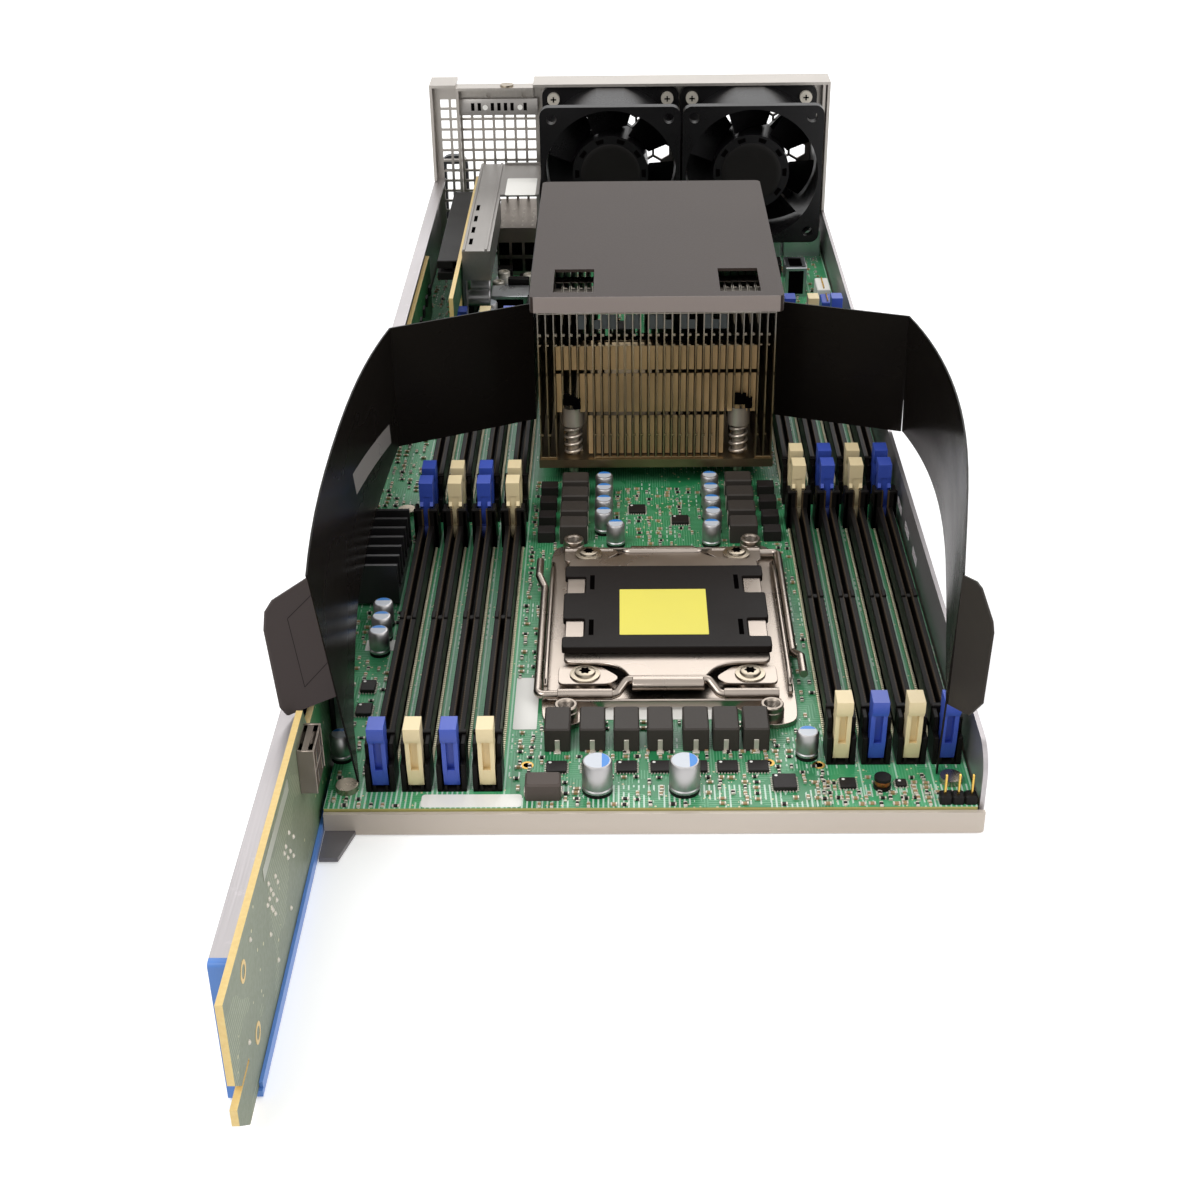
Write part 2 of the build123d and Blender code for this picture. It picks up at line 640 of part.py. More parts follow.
def make_adapter_connector():
    """Board connector that the adapter card's rear edge plugs into."""
    x0 = CARD_X - ADAPTER_CONNECTOR_WALL
    x1 = CARD_X + CARD_THICKNESS + ADAPTER_CONNECTOR_WALL
    y1 = FRONT + CARD_NOTCH_LENGTH
    body = slab(x0, x1, y1 - ADAPTER_CONNECTOR_NOSE, y1 + ADAPTER_CONNECTOR_Y, BOARD_TOP,
                BOARD_TOP + ADAPTER_CONNECTOR_Z)
    return body - slab(CARD_X - RUNNING_FIT, CARD_X + CARD_THICKNESS + RUNNING_FIT,
                       y1 - ADAPTER_CONNECTOR_NOSE - CUT_OVERRUN, FRONT + CARD_BACK + SEAT_GAP,
                       BOARD_TOP - CUT_OVERRUN, BOARD_TOP + ADAPTER_CONNECTOR_Z + CUT_OVERRUN)


def make_card_shell():
    """Shielded connector on the adapter card's inner face."""
    x0 = CARD_X + CARD_THICKNESS
    y1 = FRONT - CARD_SHELL_FROM_LIP
    return slab(x0, x0 + CARD_SHELL_X, y1 - CARD_SHELL_Y, y1, CARD_SHELL_TOP - CARD_SHELL_Z, CARD_SHELL_TOP)


def make_board():
    """Motherboard with its screw holes and the corner cut away for the adapter card."""
    board = slab(-BOARD_SIDE, BOARD_SIDE, BOARD_FRONT, BOARD_REAR, BOARD_BOTTOM, BOARD_TOP)
    board -= slab(-SIDE, NOTCH_X, FRONT, FRONT + CARD_NOTCH_LENGTH, 0, RAIL_HEIGHT)
    for x, y in screw_places():
        board -= post(x, y, 0, RAIL_HEIGHT, BOARD_HOLE_RADIUS)
    return board


def make_standoffs():
    """Hexagonal standoffs with a tapped bore."""
    bored = SCREW_DEPTH + CUT_OVERRUN
    standoffs = []
    for x, y in screw_places():
        hexagon = extrude(Pos(x, y, SHEET) * RegularPolygon(STANDOFF_RADIUS, 6), amount=STANDOFF_HEIGHT)
        standoffs.append(hexagon - post(x, y, BOARD_BOTTOM - bored, BOARD_TOP, SCREW_RADIUS + RUNNING_FIT))
    return standoffs


def make_board_screws():
    """Pan head screws that hold the board on its standoffs."""
    screws = []
    for x, y in screw_places():
        head = post(x, y, BOARD_TOP, BOARD_TOP + SCREW_HEAD_HEIGHT, SCREW_HEAD_RADIUS)
        shank = post(x, y, BOARD_BOTTOM - SCREW_DEPTH, BOARD_TOP, SCREW_RADIUS)
        screws.append(head + shank)
    return screws


def grille_hexagons(x, z):
    """Honeycomb cells inside a fan's circle."""
    cell = RegularPolygon((HEX_PITCH - HEX_WEB) / 2, 6, major_radius=False)
    row_step = HEX_PITCH * sin(radians(60))
    limit = FAN_DUCT_RADIUS - HEX_PITCH / 2
    cells = []
    for row in range(-HEX_RINGS, HEX_RINGS + 1):
        for column in range(-HEX_RINGS, HEX_RINGS + 1):
            u = (column + (row % 2) / 2) * HEX_PITCH
            w = row * row_step
            if u * u + w * w <= limit * limit:
                cells.append(Pos(x + u, z + w) * Rot(0, 0, HEX_TURN) * cell)
    return cells


def mesh_squares():
    """Square mesh holes in the panel's left third."""
    hole = Rectangle(MESH_HOLE, MESH_HOLE)
    x0 = -SIDE + MESH_LEFT_MARGIN + MESH_PITCH_X / 2
    z0 = PANEL_HEIGHT - MESH_TOP_MARGIN - MESH_PITCH_Z / 2
    holes = []
    for row in range(MESH_ROWS):
        for column in range(MESH_COLUMNS):
            holes.append(Pos(x0 + column * MESH_PITCH_X, z0 - row * MESH_PITCH_Z) * hole)
    return holes


def port_windows():
    """Panel windows for the rear connectors."""
    sizes = [(x, LAN_X, LAN_HEIGHT) for x in LAN_CENTRES]
    sizes += [(USB_CENTRE, USB_X, USB_HEIGHT), (VIDEO_CENTRE, VIDEO_X, VIDEO_HEIGHT)]
    windows = []
    for x, width, height in sizes:
        window = Rectangle(width + PORT_WINDOW_GAP * 2, height + PORT_WINDOW_GAP * 2)
        windows.append(Pos(x, BOARD_TOP + height / 2) * window)
    return windows


def make_rear_panel():
    """Rear panel with mesh, honeycomb, port windows, fan screw holes and folded flanges."""
    sheet = Pos(0, PANEL_HEIGHT / 2) * Rectangle(TRAY_WIDTH, PANEL_HEIGHT)
    cuts = mesh_squares() + port_windows()
    for x in FAN_CENTRES.values():
        cuts += grille_hexagons(x, FAN_Z)
    for x, z in fan_corners():
        cuts.append(Pos(x, z) * Circle(FAN_SCREW_RADIUS + RUNNING_FIT))
    sheet -= cuts
    panel = extrude(Plane.XZ.offset(-REAR) * sheet, amount=SHEET)
    flange = slab(-SIDE, SIDE, PANEL_INNER - PANEL_FLANGE, REAR + PANEL_RIM, PANEL_HEIGHT - SHEET, PANEL_HEIGHT)
    recess_x = -SIDE + STRAP_INSET
    recess = slab(recess_x, recess_x + STRAP_PLATE_WIDTH, PANEL_INNER - PANEL_FLANGE - CUT_OVERRUN,
                  REAR + PANEL_RIM + CUT_OVERRUN, PANEL_HEIGHT - SHEET, PANEL_HEIGHT + CUT_OVERRUN)
    left = slab(-SIDE, -SIDE_INNER, PANEL_INNER - PANEL_FLANGE, REAR, RAIL_HEIGHT + SEAT_GAP, PANEL_HEIGHT)
    right_x = FAN_CENTRES["right"] + FAN_SIZE / 2 + SEAT_GAP
    right = slab(SIDE_INNER, SIDE, PANEL_INNER - PANEL_FLANGE, REAR, RIGHT_WALL_HEIGHT + SEAT_GAP,
                 PANEL_HEIGHT)
    inner = right_x + (SIDE_INNER - right_x) / 2
    rib = slab(inner, inner + SHEET, PANEL_INNER - PANEL_FLANGE, REAR, FAN_LIFT, PANEL_HEIGHT)
    ears = []
    for side in (-1, 1):
        x = LEVER_X + side * (LEVER_WIDTH / 2 + LEVER_EAR_GAP + LEVER_EAR / 2)
        ear = slab(x - LEVER_EAR / 2, x + LEVER_EAR / 2, REAR, REAR + LEVER_STANDOFF,
                   LEVER_PIVOT_Z - LEVER_BARREL_RADIUS, LEVER_PIVOT_Z + LEVER_BARREL_RADIUS)
        tip = rod_x(x - LEVER_EAR / 2, x + LEVER_EAR / 2, REAR + LEVER_STANDOFF, LEVER_PIVOT_Z,
                    LEVER_BARREL_RADIUS)
        ears.append(ear + tip)
    pin = rod_x(LEVER_X - LEVER_WIDTH / 2 - LEVER_EAR_GAP - LEVER_EAR,
                LEVER_X + LEVER_WIDTH / 2 + LEVER_EAR_GAP + LEVER_EAR, REAR + LEVER_STANDOFF,
                LEVER_PIVOT_Z, LEVER_PIN_RADIUS)
    return panel + flange + left + right + rib + ears[0] + ears[1] + pin - recess


def make_strap():
    """Card clamp: a plate under the panel's top flange with an upright strap below it."""
    x0 = -SIDE + STRAP_INSET
    y1 = PANEL_INNER
    y0 = y1 - STRAP_DEPTH
    z1 = PANEL_HEIGHT - SHEET
    strap = slab(x0, x0 + SHEET, y0, y1, STRAP_FOOT_LIFT, z1)
    plate = slab(x0, x0 + STRAP_PLATE_WIDTH, y1 - SHEET, y1, z1 - STRAP_PLATE_DROP, z1)
    shelf = slab(x0, x0 + STRAP_PLATE_WIDTH, y0, y1, z1 - SHEET, z1)
    for share in STRAP_HOLE_SHARES:
        plate -= rod_y(x0 + STRAP_PLATE_WIDTH * share, y0, y1 + CUT_OVERRUN,
                       z1 - STRAP_PLATE_DROP / 2 - SHEET, STRAP_HOLE_RADIUS)
    return strap + plate + shelf


def make_strap_screw():
    """Screw on the card clamp's shelf, in the recess of the panel's top flange."""
    x = -SIDE + STRAP_INSET + STRAP_PLATE_WIDTH * STRAP_SCREW_SHARE
    y = PANEL_INNER - STRAP_DEPTH / 2
    z = PANEL_HEIGHT - SHEET
    return post(x, y, z, z + SCREW_HEAD_HEIGHT / 2, SCREW_HEAD_RADIUS)


def fan_corners():
    """Screw places of both fans, in front view."""
    half = FAN_HOLE_SPACING / 2
    return [(x + i * half, FAN_Z + j * half) for x in FAN_CENTRES.values() for i in (-1, 1) for j in (-1, 1)]


def make_fan_frame(x):
    """Fan housing: two square flanges, a round barrel, struts and a bearing tube."""
    square = RectangleRounded(FAN_SIZE, FAN_SIZE, FAN_CORNER)
    barrel = Circle(FAN_BARREL_RADIUS) & Rectangle(FAN_SIZE, FAN_SIZE)
    half = FAN_HOLE_SPACING / 2
    for i in (-1, 1):
        for j in (-1, 1):
            square -= Pos(i * half, j * half) * Circle(FAN_HOLE_RADIUS)
    square -= Circle(FAN_DUCT_RADIUS)
    barrel -= Circle(FAN_DUCT_RADIUS)
    back = Plane.XZ.offset(-FAN_REAR)
    body = extrude(back * barrel, amount=FAN_DEPTH)
    body += extrude(back * square, amount=FAN_FLANGE)
    body += extrude(Plane.XZ.offset(-FAN_FRONT - FAN_FLANGE) * square, amount=FAN_FLANGE)
    stator = rod_y(0, FAN_REAR - FAN_STATOR_LENGTH, FAN_REAR, 0, FAN_STATOR_RADIUS)
    for index in range(FAN_STRUTS):
        strut = slab(-FAN_STRUT_WIDTH / 2, FAN_STRUT_WIDTH / 2, FAN_REAR - FAN_STATOR_LENGTH, FAN_REAR,
                     FAN_STATOR_RADIUS / 2, (FAN_DUCT_RADIUS + FAN_BARREL_RADIUS) / 2)
        stator += Rot(0, FAN_STRUT_TURN + index * 360 / FAN_STRUTS, 0) * strut
    tube_y = FAN_REAR - FAN_STATOR_LENGTH - FAN_BEARING_LENGTH
    stator += rod_y(0, tube_y, FAN_REAR - FAN_STATOR_LENGTH, 0, FAN_BEARING_RADIUS)
    stator -= rod_y(0, tube_y - CUT_OVERRUN, FAN_REAR - FAN_STATOR_LENGTH / 2, 0,
                    FAN_SHAFT_RADIUS + RUNNING_FIT)
    return Pos(x, 0, FAN_Z) * (body + stator)


def blade_section(chord, angle, height):
    """A cambered blade's section, turned from the fan's plane, at a height above the axis."""
    half = chord / 2
    outer = ThreePointArc((-half, 0), (0, FAN_BLADE_CAMBER), (half, 0))
    inner = ThreePointArc((half, 0), (0, FAN_BLADE_CAMBER - FAN_BLADE_THICKNESS), (-half, 0))
    return Plane.XY.offset(height) * Rot(0, 0, angle) * make_face(Curve() + [outer, inner])


def make_fan_rotor(x):
    """Rotor: a hub cup, its shaft and cambered blades set at an angle."""
    y0 = FAN_FRONT + FAN_HUB_SETBACK
    y1 = y0 + FAN_HUB_LENGTH
    cup = rod_y(0, y0, y1, 0, FAN_HUB_RADIUS)
    cup -= rod_y(0, y0 + FAN_HUB_WALL, y1 + CUT_OVERRUN, 0, FAN_HUB_RADIUS - FAN_HUB_WALL)
    shaft = rod_y(0, y0 + FAN_HUB_WALL / 2, FAN_REAR - FAN_STATOR_LENGTH, 0, FAN_SHAFT_RADIUS)
    tip = FAN_DUCT_RADIUS - FAN_TIP_GAP
    root = blade_section(FAN_ROOT_CHORD, FAN_ROOT_ANGLE, FAN_HUB_RADIUS - FAN_HUB_WALL / 2)
    blade = loft([root, blade_section(FAN_TIP_CHORD, FAN_TIP_ANGLE, tip + CUT_OVERRUN)], ruled=True)
    blade = Pos(0, (y0 + y1) / 2, 0) * blade
    blade = blade & rod_y(0, y0, y1, 0, tip)
    rotor = cup + shaft
    for index in range(FAN_BLADES):
        rotor += Rot(0, index * 360 / FAN_BLADES, 0) * blade
    return Pos(x, 0, FAN_Z) * rotor


def make_fan_screws():
    """Screws from the panel into each fan's rear flange, heads inside the corner recess."""
    screws = []
    y0 = FAN_REAR - FAN_FLANGE
    for x, z in fan_corners():
        shank = rod_y(x, y0, REAR + SHEET / 2, z, FAN_SCREW_RADIUS)
        screws.append(shank + rod_y(x, y0 - FAN_SCREW_HEAD, y0, z, FAN_SCREW_HEAD_RADIUS))
    return screws


def socket_columns(bank_x):
    """Centre lines of a bank's sockets."""
    first = bank_x - (SOCKETS_PER_BANK - 1) * SOCKET_PITCH / 2
    return [first + index * SOCKET_PITCH for index in range(SOCKETS_PER_BANK)]


def make_socket(x, y):
    """One memory socket: contact bar with a keyed groove, and a slotted tower at each end."""
    half = SOCKET_LENGTH / 2
    wide = SOCKET_WIDTH / 2
    body = slab(x - wide, x + wide, y - half, y + half, BOARD_TOP, BOARD_TOP + SOCKET_BAR_HEIGHT)
    groove_top = BOARD_TOP + SOCKET_BAR_HEIGHT
    key_y = y - half + SOCKET_LENGTH * KEY_SHARE
    groove_half = half - TOWER_LENGTH
    for y0, y1 in ((y - groove_half, key_y - KEY_LENGTH / 2), (key_y + KEY_LENGTH / 2, y + groove_half)):
        body -= slab(x - GROOVE_WIDTH / 2, x + GROOVE_WIDTH / 2, y0, y1, groove_top - GROOVE_DEPTH,
                     groove_top + CUT_OVERRUN)
    slot = LATCH_WIDTH / 2 + LATCH_SIDE_GAP
    for side in (-1, 1):
        end = y + side * half
        inside = end - side * TOWER_LENGTH
        pivot = end - side * LATCH_PIVOT_INSET
        back = pivot - side * (LATCH_HEEL_RADIUS + LATCH_SWEEP_GAP)
        body += slab(x - wide, x + wide, min(end, inside), max(end, inside), BOARD_TOP,
                     BOARD_TOP + TOWER_HEIGHT)
        open_end = end + side * CUT_OVERRUN
        body -= slab(x - slot, x + slot, min(back, open_end), max(back, open_end), LATCH_PIVOT_Z,
                     BOARD_TOP + TOWER_HEIGHT + CUT_OVERRUN)
        body -= rod_x(x - slot, x + slot, pivot, LATCH_PIVOT_Z, LATCH_HEEL_RADIUS + RUNNING_FIT)
    return body


def make_latch(x, y, side):
    """Latch on the socket end that faces side, with a heel round its pivot and a finger block."""
    pivot = y + side * (SOCKET_LENGTH / 2 - LATCH_PIVOT_INSET)
    outline = [(pivot + side * reach * LATCH_REACH, LATCH_PIVOT_Z + rise * LATCH_HEIGHT)
               for reach, rise in LATCH_OUTLINE_SHARES]
    x0 = x - LATCH_WIDTH / 2
    x1 = x + LATCH_WIDTH / 2
    latch = side_shape(outline, x0, x1)
    latch += rod_x(x0, x1, pivot, LATCH_PIVOT_Z, LATCH_HEEL_RADIUS)
    face = pivot + side * LATCH_REACH * (LATCH_OUTLINE_SHARES[8][0])
    low = LATCH_PIVOT_Z + LATCH_HEIGHT * LATCH_GROOVE_LOW_SHARE
    high = LATCH_PIVOT_Z + LATCH_HEIGHT * LATCH_GROOVE_HIGH_SHARE
    inner = face - side * LATCH_GROOVE_DEPTH * 2
    outer = face + side * LATCH_GROOVE_DEPTH
    groove = slab(x - LATCH_GROOVE_WIDTH / 2, x + LATCH_GROOVE_WIDTH / 2, min(inner, outer),
                  max(inner, outer), low, high)
    return latch - groove


def make_socket_body(centre):
    """Land grid socket housing."""
    x, y = centre
    return block_at(x, y, BOARD_TOP, SOCKET_BODY_X, SOCKET_BODY_Y, SOCKET_BODY_HEIGHT)


def make_retention_frame(centre):
    """Retention frame: base plate with lugs, side rails, screw bosses and crank bearings."""
    x, y = centre
    frame = block_at(x, y, BOARD_TOP, FRAME_X, FRAME_Y, FRAME_THICKNESS)
    for i, j in ((-1, -1), (-1, 1), (1, -1), (1, 1)):
        stud_x = x + i * STUD_SPACING_X / 2
        stud_y = y + j * STUD_SPACING_Y / 2
        frame += post(stud_x, stud_y, BOARD_TOP, BOARD_TOP + FRAME_THICKNESS, FRAME_LUG_RADIUS)
    frame -= block_at(x, y, 0, SOCKET_BODY_X + CUT_OVERRUN, SOCKET_BODY_Y + CUT_OVERRUN, RAIL_HEIGHT)
    floor = BOARD_TOP + FRAME_THICKNESS
    rail_y = FRAME_Y - CRANK_BEARING_LENGTH * 4
    for i in (-1, 1):
        rail_x = x + i * (FRAME_X - FRAME_THICKNESS) / 2
        frame += block_at(rail_x, y, floor, FRAME_THICKNESS, rail_y, FRAME_RAIL_HEIGHT)
    for i, j in ((-1, -1), (-1, 1), (1, -1), (1, 1)):
        boss_x = x + i * FRAME_SCREW_SPACING_X / 2
        boss_y = y + FRAME_SCREW_OFFSET_Y + j * FRAME_SCREW_SPACING_Y / 2
        frame += post(boss_x, boss_y, floor, BOARD_TOP + PLATE_LIFT, FRAME_BOSS_RADIUS)
    for crank_y in crank_lines(centre):
        for i in (-1, 1):
            bearing_x = x + i * CRANK_BEARING_OFFSET
            frame += block_at(bearing_x, crank_y, floor, CRANK_BEARING_WIDTH, CRANK_BEARING_LENGTH,
                              CRANK_LIFT - FRAME_THICKNESS + WIRE_RADIUS + SHEET)
        frame -= rod_x(x - CRANK_END_X - SHEET, x + CRANK_END_X + SHEET, crank_y, CRANK_Z,
                       WIRE_RADIUS + RUNNING_FIT)
    return frame


def crank_lines(centre):
    """Y of the front and the rear crank axis."""
    return (centre[1] - CRANK_FROM_CENTRE, centre[1] + CRANK_REAR_FROM_CENTRE)


def make_studs(centre):
    """Tapped pillars at the frame's corners, which take the heatsink's spring screws."""
    x, y = centre
    studs = []
    for i in (-1, 1):
        for j in (-1, 1):
            stud_x = x + i * STUD_SPACING_X / 2
            stud_y = y + j * STUD_SPACING_Y / 2
            pillar = post(stud_x, stud_y, BOARD_TOP + FRAME_THICKNESS, STUD_TOP, STUD_RADIUS)
            studs.append(pillar - post(stud_x, stud_y, BOARD_TOP, STUD_TOP + CUT_OVERRUN, STUD_THREAD_RADIUS))
    return studs


def make_frame_screws(centre):
    """Flat headed screws that clamp the retention frame."""
    x, y = centre
    screws = []
    top = BOARD_TOP + PLATE_LIFT
    for i in (-1, 1):
        for j in (-1, 1):
            screw_x = x + i * FRAME_SCREW_SPACING_X / 2
            screw_y = y + FRAME_SCREW_OFFSET_Y + j * FRAME_SCREW_SPACING_Y / 2
            head = post(screw_x, screw_y, top, top + FRAME_SCREW_HEAD_HEIGHT, FRAME_SCREW_HEAD_RADIUS)
            socket = extrude(Pos(screw_x, screw_y, top + FRAME_SCREW_HEAD_HEIGHT / 2)
                             * RegularPolygon(FRAME_SCREW_SOCKET_RADIUS, 6), amount=FRAME_SCREW_HEAD_HEIGHT)
            screws.append(head - socket)
    return screws


def make_load_lever(centre, side):
    """Bent wire lever: side -1 turns on the front crank line, side 1 on the rear one."""
    x, y = centre
    front, rear = crank_lines(centre)
    axis_y = front if side < 0 else rear
    aim = -side
    z = CRANK_Z
    mid_y = axis_y + aim * CRANK_THROW
    mid_z = z + CRANK_RISE
    arm_x = x + side * LEVER_ARM_X
    arm_end = axis_y + aim * LEVER_ARM_LENGTH
    bulge_x = arm_x + side * LEVER_HANDLE_BULGE
    lift = z + LEVER_HANDLE_RISE
    path = (
        (x - side * CRANK_END_X, axis_y, z),
        (x - side * (CRANK_HALF_WIDTH + CRANK_SLOPE), axis_y, z),
        (x - side * CRANK_HALF_WIDTH, mid_y, mid_z),
        (x + side * CRANK_HALF_WIDTH, mid_y, mid_z),
        (x + side * (CRANK_HALF_WIDTH + CRANK_SLOPE), axis_y, z),
        (arm_x, axis_y, z),
        (arm_x, arm_end, z),
        (bulge_x, arm_end + aim * LEVER_HANDLE_LENGTH / 3, lift),
        (bulge_x, arm_end + aim * LEVER_HANDLE_LENGTH, lift),
    )
    wire = FilletPolyline(*path, radius=WIRE_BEND_RADIUS)
    section = Plane(origin=wire @ 0, z_dir=wire % 0) * Circle(WIRE_RADIUS)
    return sweep(section, path=wire)


def make_load_plate(centre):
    """Load plate with a window and a stepped tongue at each end, under the cranks."""
    x, y = centre
    mid = y + PLATE_OFFSET_Y
    z = BOARD_TOP + PLATE_LIFT
    plate = block_at(x, mid, z, PLATE_X, PLATE_Y, PLATE_THICKNESS)
    plate -= block_at(x, mid, z - CUT_OVERRUN, PLATE_WINDOW_X, PLATE_WINDOW_Y, PLATE_THICKNESS * 3)
    front, rear = crank_lines(centre)
    half = PLATE_Y / 2
    low = z - TONGUE_DROP
    high = z + PLATE_THICKNESS
    for side, axis_y in ((-1, front), (1, rear)):
        root = mid + side * half
        knee = root + side * TONGUE_SLOPE
        tip = axis_y - side * WIRE_RADIUS
        points = (
            (root - side * TONGUE_SLOPE, z), (root - side * TONGUE_SLOPE, high), (root, high),
            (knee, low + PLATE_THICKNESS), (tip, low + PLATE_THICKNESS), (tip, low), (knee, low), (root, z),
        )
        plate += side_shape(points, x - TONGUE_X / 2, x + TONGUE_X / 2)
    return plate


def make_socket_cap(centre):
    """Black cover over the socket's contacts, notched at both sides, plugged into the plate's window."""
    x, y = centre
    mid = y + CAP_OFFSET_Y
    z = BOARD_TOP + PLATE_LIFT + PLATE_THICKNESS
    cap = block_at(x, mid, z, CAP_X, CAP_Y, CAP_THICKNESS)
    cap = fillet(cap.edges().filter_by(Axis.Z), CAP_RADIUS)
    for i in (-1, 1):
        for j in (-1, 1):
            notch_x = x + i * (CAP_X - CAP_NOTCH_DEPTH) / 2
            notch_y = mid + j * CAP_NOTCH_OFFSET
            cap -= block_at(notch_x, notch_y, z - CUT_OVERRUN, CAP_NOTCH_DEPTH, CAP_NOTCH_LENGTH,
                            CAP_THICKNESS * 3)
            slot_x = x + i * (CAP_X / 2 - CAP_NOTCH_DEPTH - CAP_SLOT_WIDTH * 2)
            cap -= block_at(slot_x, notch_y, z + CAP_THICKNESS / 2, CAP_SLOT_WIDTH, CAP_NOTCH_LENGTH,
                            CAP_THICKNESS)
    plug_y = y + PLATE_OFFSET_Y
    plug_low = SOCKET_BODY_TOP + SEAT_GAP
    plug = block_at(x, plug_y, plug_low, PLATE_WINDOW_X - CAP_PLUG_INSET * 2,
                    PLATE_WINDOW_Y - CAP_PLUG_INSET * 2, z - plug_low)
    return cap + plug


def make_package(centre):
    """Processor lid between the rear socket and the heatsink."""
    x, y = centre
    return block_at(x, y + PLATE_OFFSET_Y, SOCKET_BODY_TOP, PACKAGE_X, PACKAGE_Y,
                    HEATSINK_Z - SOCKET_BODY_TOP)


def heat_screw_places():
    """Places of the heatsink's four spring screws."""
    x, y = CPU_REAR
    return [(x + i * STUD_SPACING_X / 2, y + j * STUD_SPACING_Y / 2) for i in (-1, 1) for j in (-1, 1)]


def make_heatsink_base():
    """Heatsink base plate with its screw holes."""
    base = block_at(CPU_REAR_X, CPU_REAR[1], HEATSINK_Z, HEATSINK_X, HEATSINK_Y, HEATSINK_BASE)
    for x, y in heat_screw_places():
        base -= post(x, y, BOARD_TOP, FIN_TOP, HEAT_SCREW_RADIUS + SEAT_GAP)
    return base


def make_fins():
    """Thin upright fins, notched for the spring screws."""
    span = HEATSINK_X - FIN_SETBACK - FIN_THICKNESS
    y0 = HEATSINK_FRONT + FIN_SETBACK
    y1 = HEATSINK_FRONT + HEATSINK_Y - FIN_SETBACK
    fins = []
    for index in range(FIN_COUNT):
        x = CPU_REAR_X - span / 2 + index * span / (FIN_COUNT - 1)
        fin = slab(x - FIN_THICKNESS / 2, x + FIN_THICKNESS / 2, y0, y1, FIN_Z, FIN_TOP)
        for screw_x, screw_y in heat_screw_places():
            away = abs(x - screw_x)
            outward = y0 - CUT_OVERRUN if screw_y < CPU_REAR[1] else y1 + CUT_OVERRUN
            inward = y0 + FIN_NOTCH_LENGTH if screw_y < CPU_REAR[1] else y1 - FIN_NOTCH_LENGTH
            if away < FIN_NOTCH_HALF:
                fin -= slab(x - FIN_THICKNESS, x + FIN_THICKNESS, min(outward, inward),
                            max(outward, inward), FIN_Z - CUT_OVERRUN, FIN_Z + FIN_NOTCH_HEIGHT)
        fins.append(fin)
    return fins


def make_heat_screws():
    """Captive spring screws down into the studs."""
    screws = []
    head_z = FIN_Z + SPRING_LENGTH + SEAT_GAP
    for x, y in heat_screw_places():
        head = post(x, y, head_z, head_z + HEAT_SCREW_HEAD, HEAT_SCREW_HEAD_RADIUS)
        socket = extrude(Pos(x, y, head_z + HEAT_SCREW_HEAD / 2) * RegularPolygon(HEAT_SCREW_HEX, 6),
                         amount=HEAT_SCREW_HEAD)
        shank = post(x, y, STUD_TOP + HEAT_SCREW_GAP, head_z, HEAT_SCREW_RADIUS)
        thread = post(x, y, STUD_TOP - SCREW_DEPTH, STUD_TOP + HEAT_SCREW_GAP, STUD_THREAD_RADIUS - RUNNING_FIT)
        screws.append(head + shank + thread - socket)
    return screws


def make_springs():
    """Springs under the screw heads, as plain sleeves of their outer size."""
    springs = []
    for x, y in heat_screw_places():
        sleeve = post(x, y, FIN_Z, FIN_Z + SPRING_LENGTH, SPRING_RADIUS)
        springs.append(sleeve - post(x, y, HEATSINK_Z, FIN_TOP, SPRING_BORE))
    return springs


def make_hood():
    """Shallow sheet hood that rests on the fins, with two windows over the front screws."""
    y0 = HOOD_Y0
    y1 = y0 + HOOD_Y
    hood = slab(HOOD_X0, HOOD_X1, y0, y1, HOOD_Z0, HOOD_TOP)
    hood = fillet(hood.edges().filter_by(Axis.Z), HOOD_CORNER)
    hood -= slab(HOOD_X0 + HOOD_SHEET, HOOD_X1 - HOOD_SHEET, y0 + HOOD_SHEET, y1 - HOOD_SHEET,
                 HOOD_Z0 - CUT_OVERRUN, HOOD_TOP - HOOD_SHEET)
    window_y = y0 + WINDOW_FROM_FRONT
    for x0 in (HOOD_X0 + WINDOW_LEFT_FROM_SIDE, HOOD_X1 - WINDOW_RIGHT_FROM_SIDE - WINDOW_X):
        hood -= slab(x0, x0 + WINDOW_X, window_y, window_y + WINDOW_Y, HOOD_Z0, HOOD_TOP + CUT_OVERRUN)
    return hood


def flap_section(points, z, side):
    """A thin closed plan outline: a curve through the points, and its copy a film's thickness outside."""
    inner = [(x, y) for x, y in points]
    outer = [(x + side * FILM, y) for x, y in points]
    curve = Curve() + [
        Spline(*inner), Line(inner[-1], outer[-1]), Spline(*reversed(outer)), Line(outer[0], inner[0]),
    ]
    return Plane.XY.offset(z) * make_face(curve)


def make_flap(side, top_shares, foot_shares, edge_shares, ear_angle, ear_shares, root_x):
    """Air flap: tab on the hood's side, straight panel to a crease, curved strip and folded ear."""
    foot_z = BOARD_TOP + FILM_FOOT
    top = places(top_shares, FRONT, FLAP_REACH)
    foot = places(foot_shares, FRONT, FLAP_REACH)
    strip = loft([flap_section(foot, foot_z, side), flap_section(top, FILM_TOP, side)], ruled=True)
    edge = [(FRONT + along * FLAP_REACH, rise * FILM_TOP) for along, rise in edge_shares]
    trim = [(edge[0][0], 0)] + edge + [(edge[-1][0], 0)]
    strip -= side_shape(trim, -SIDE * 2, SIDE * 2)
    root_y = FRONT + FLAP_REACH
    crease_x, crease_y = top[0]
    low = edge[0][1]
    panel_plan = (
        (root_x, root_y), (crease_x, crease_y), (crease_x + side * FILM, crease_y),
        (crease_x + side * FILM, crease_y + FILM), (root_x, root_y + FILM),
    )
    panel = plan_shape(panel_plan, low, FILM_TOP)
    tab_x = root_x + side * FILM
    tab = slab(min(root_x, tab_x), max(root_x, tab_x), root_y, root_y + FLAP_TAB_LENGTH, low,
               HOOD_TOP - FLAP_TAB_RISE)
    ear = make_ear(side, ear_angle, top[-1], foot[-1], ear_shares)
    return strip + panel + tab + ear


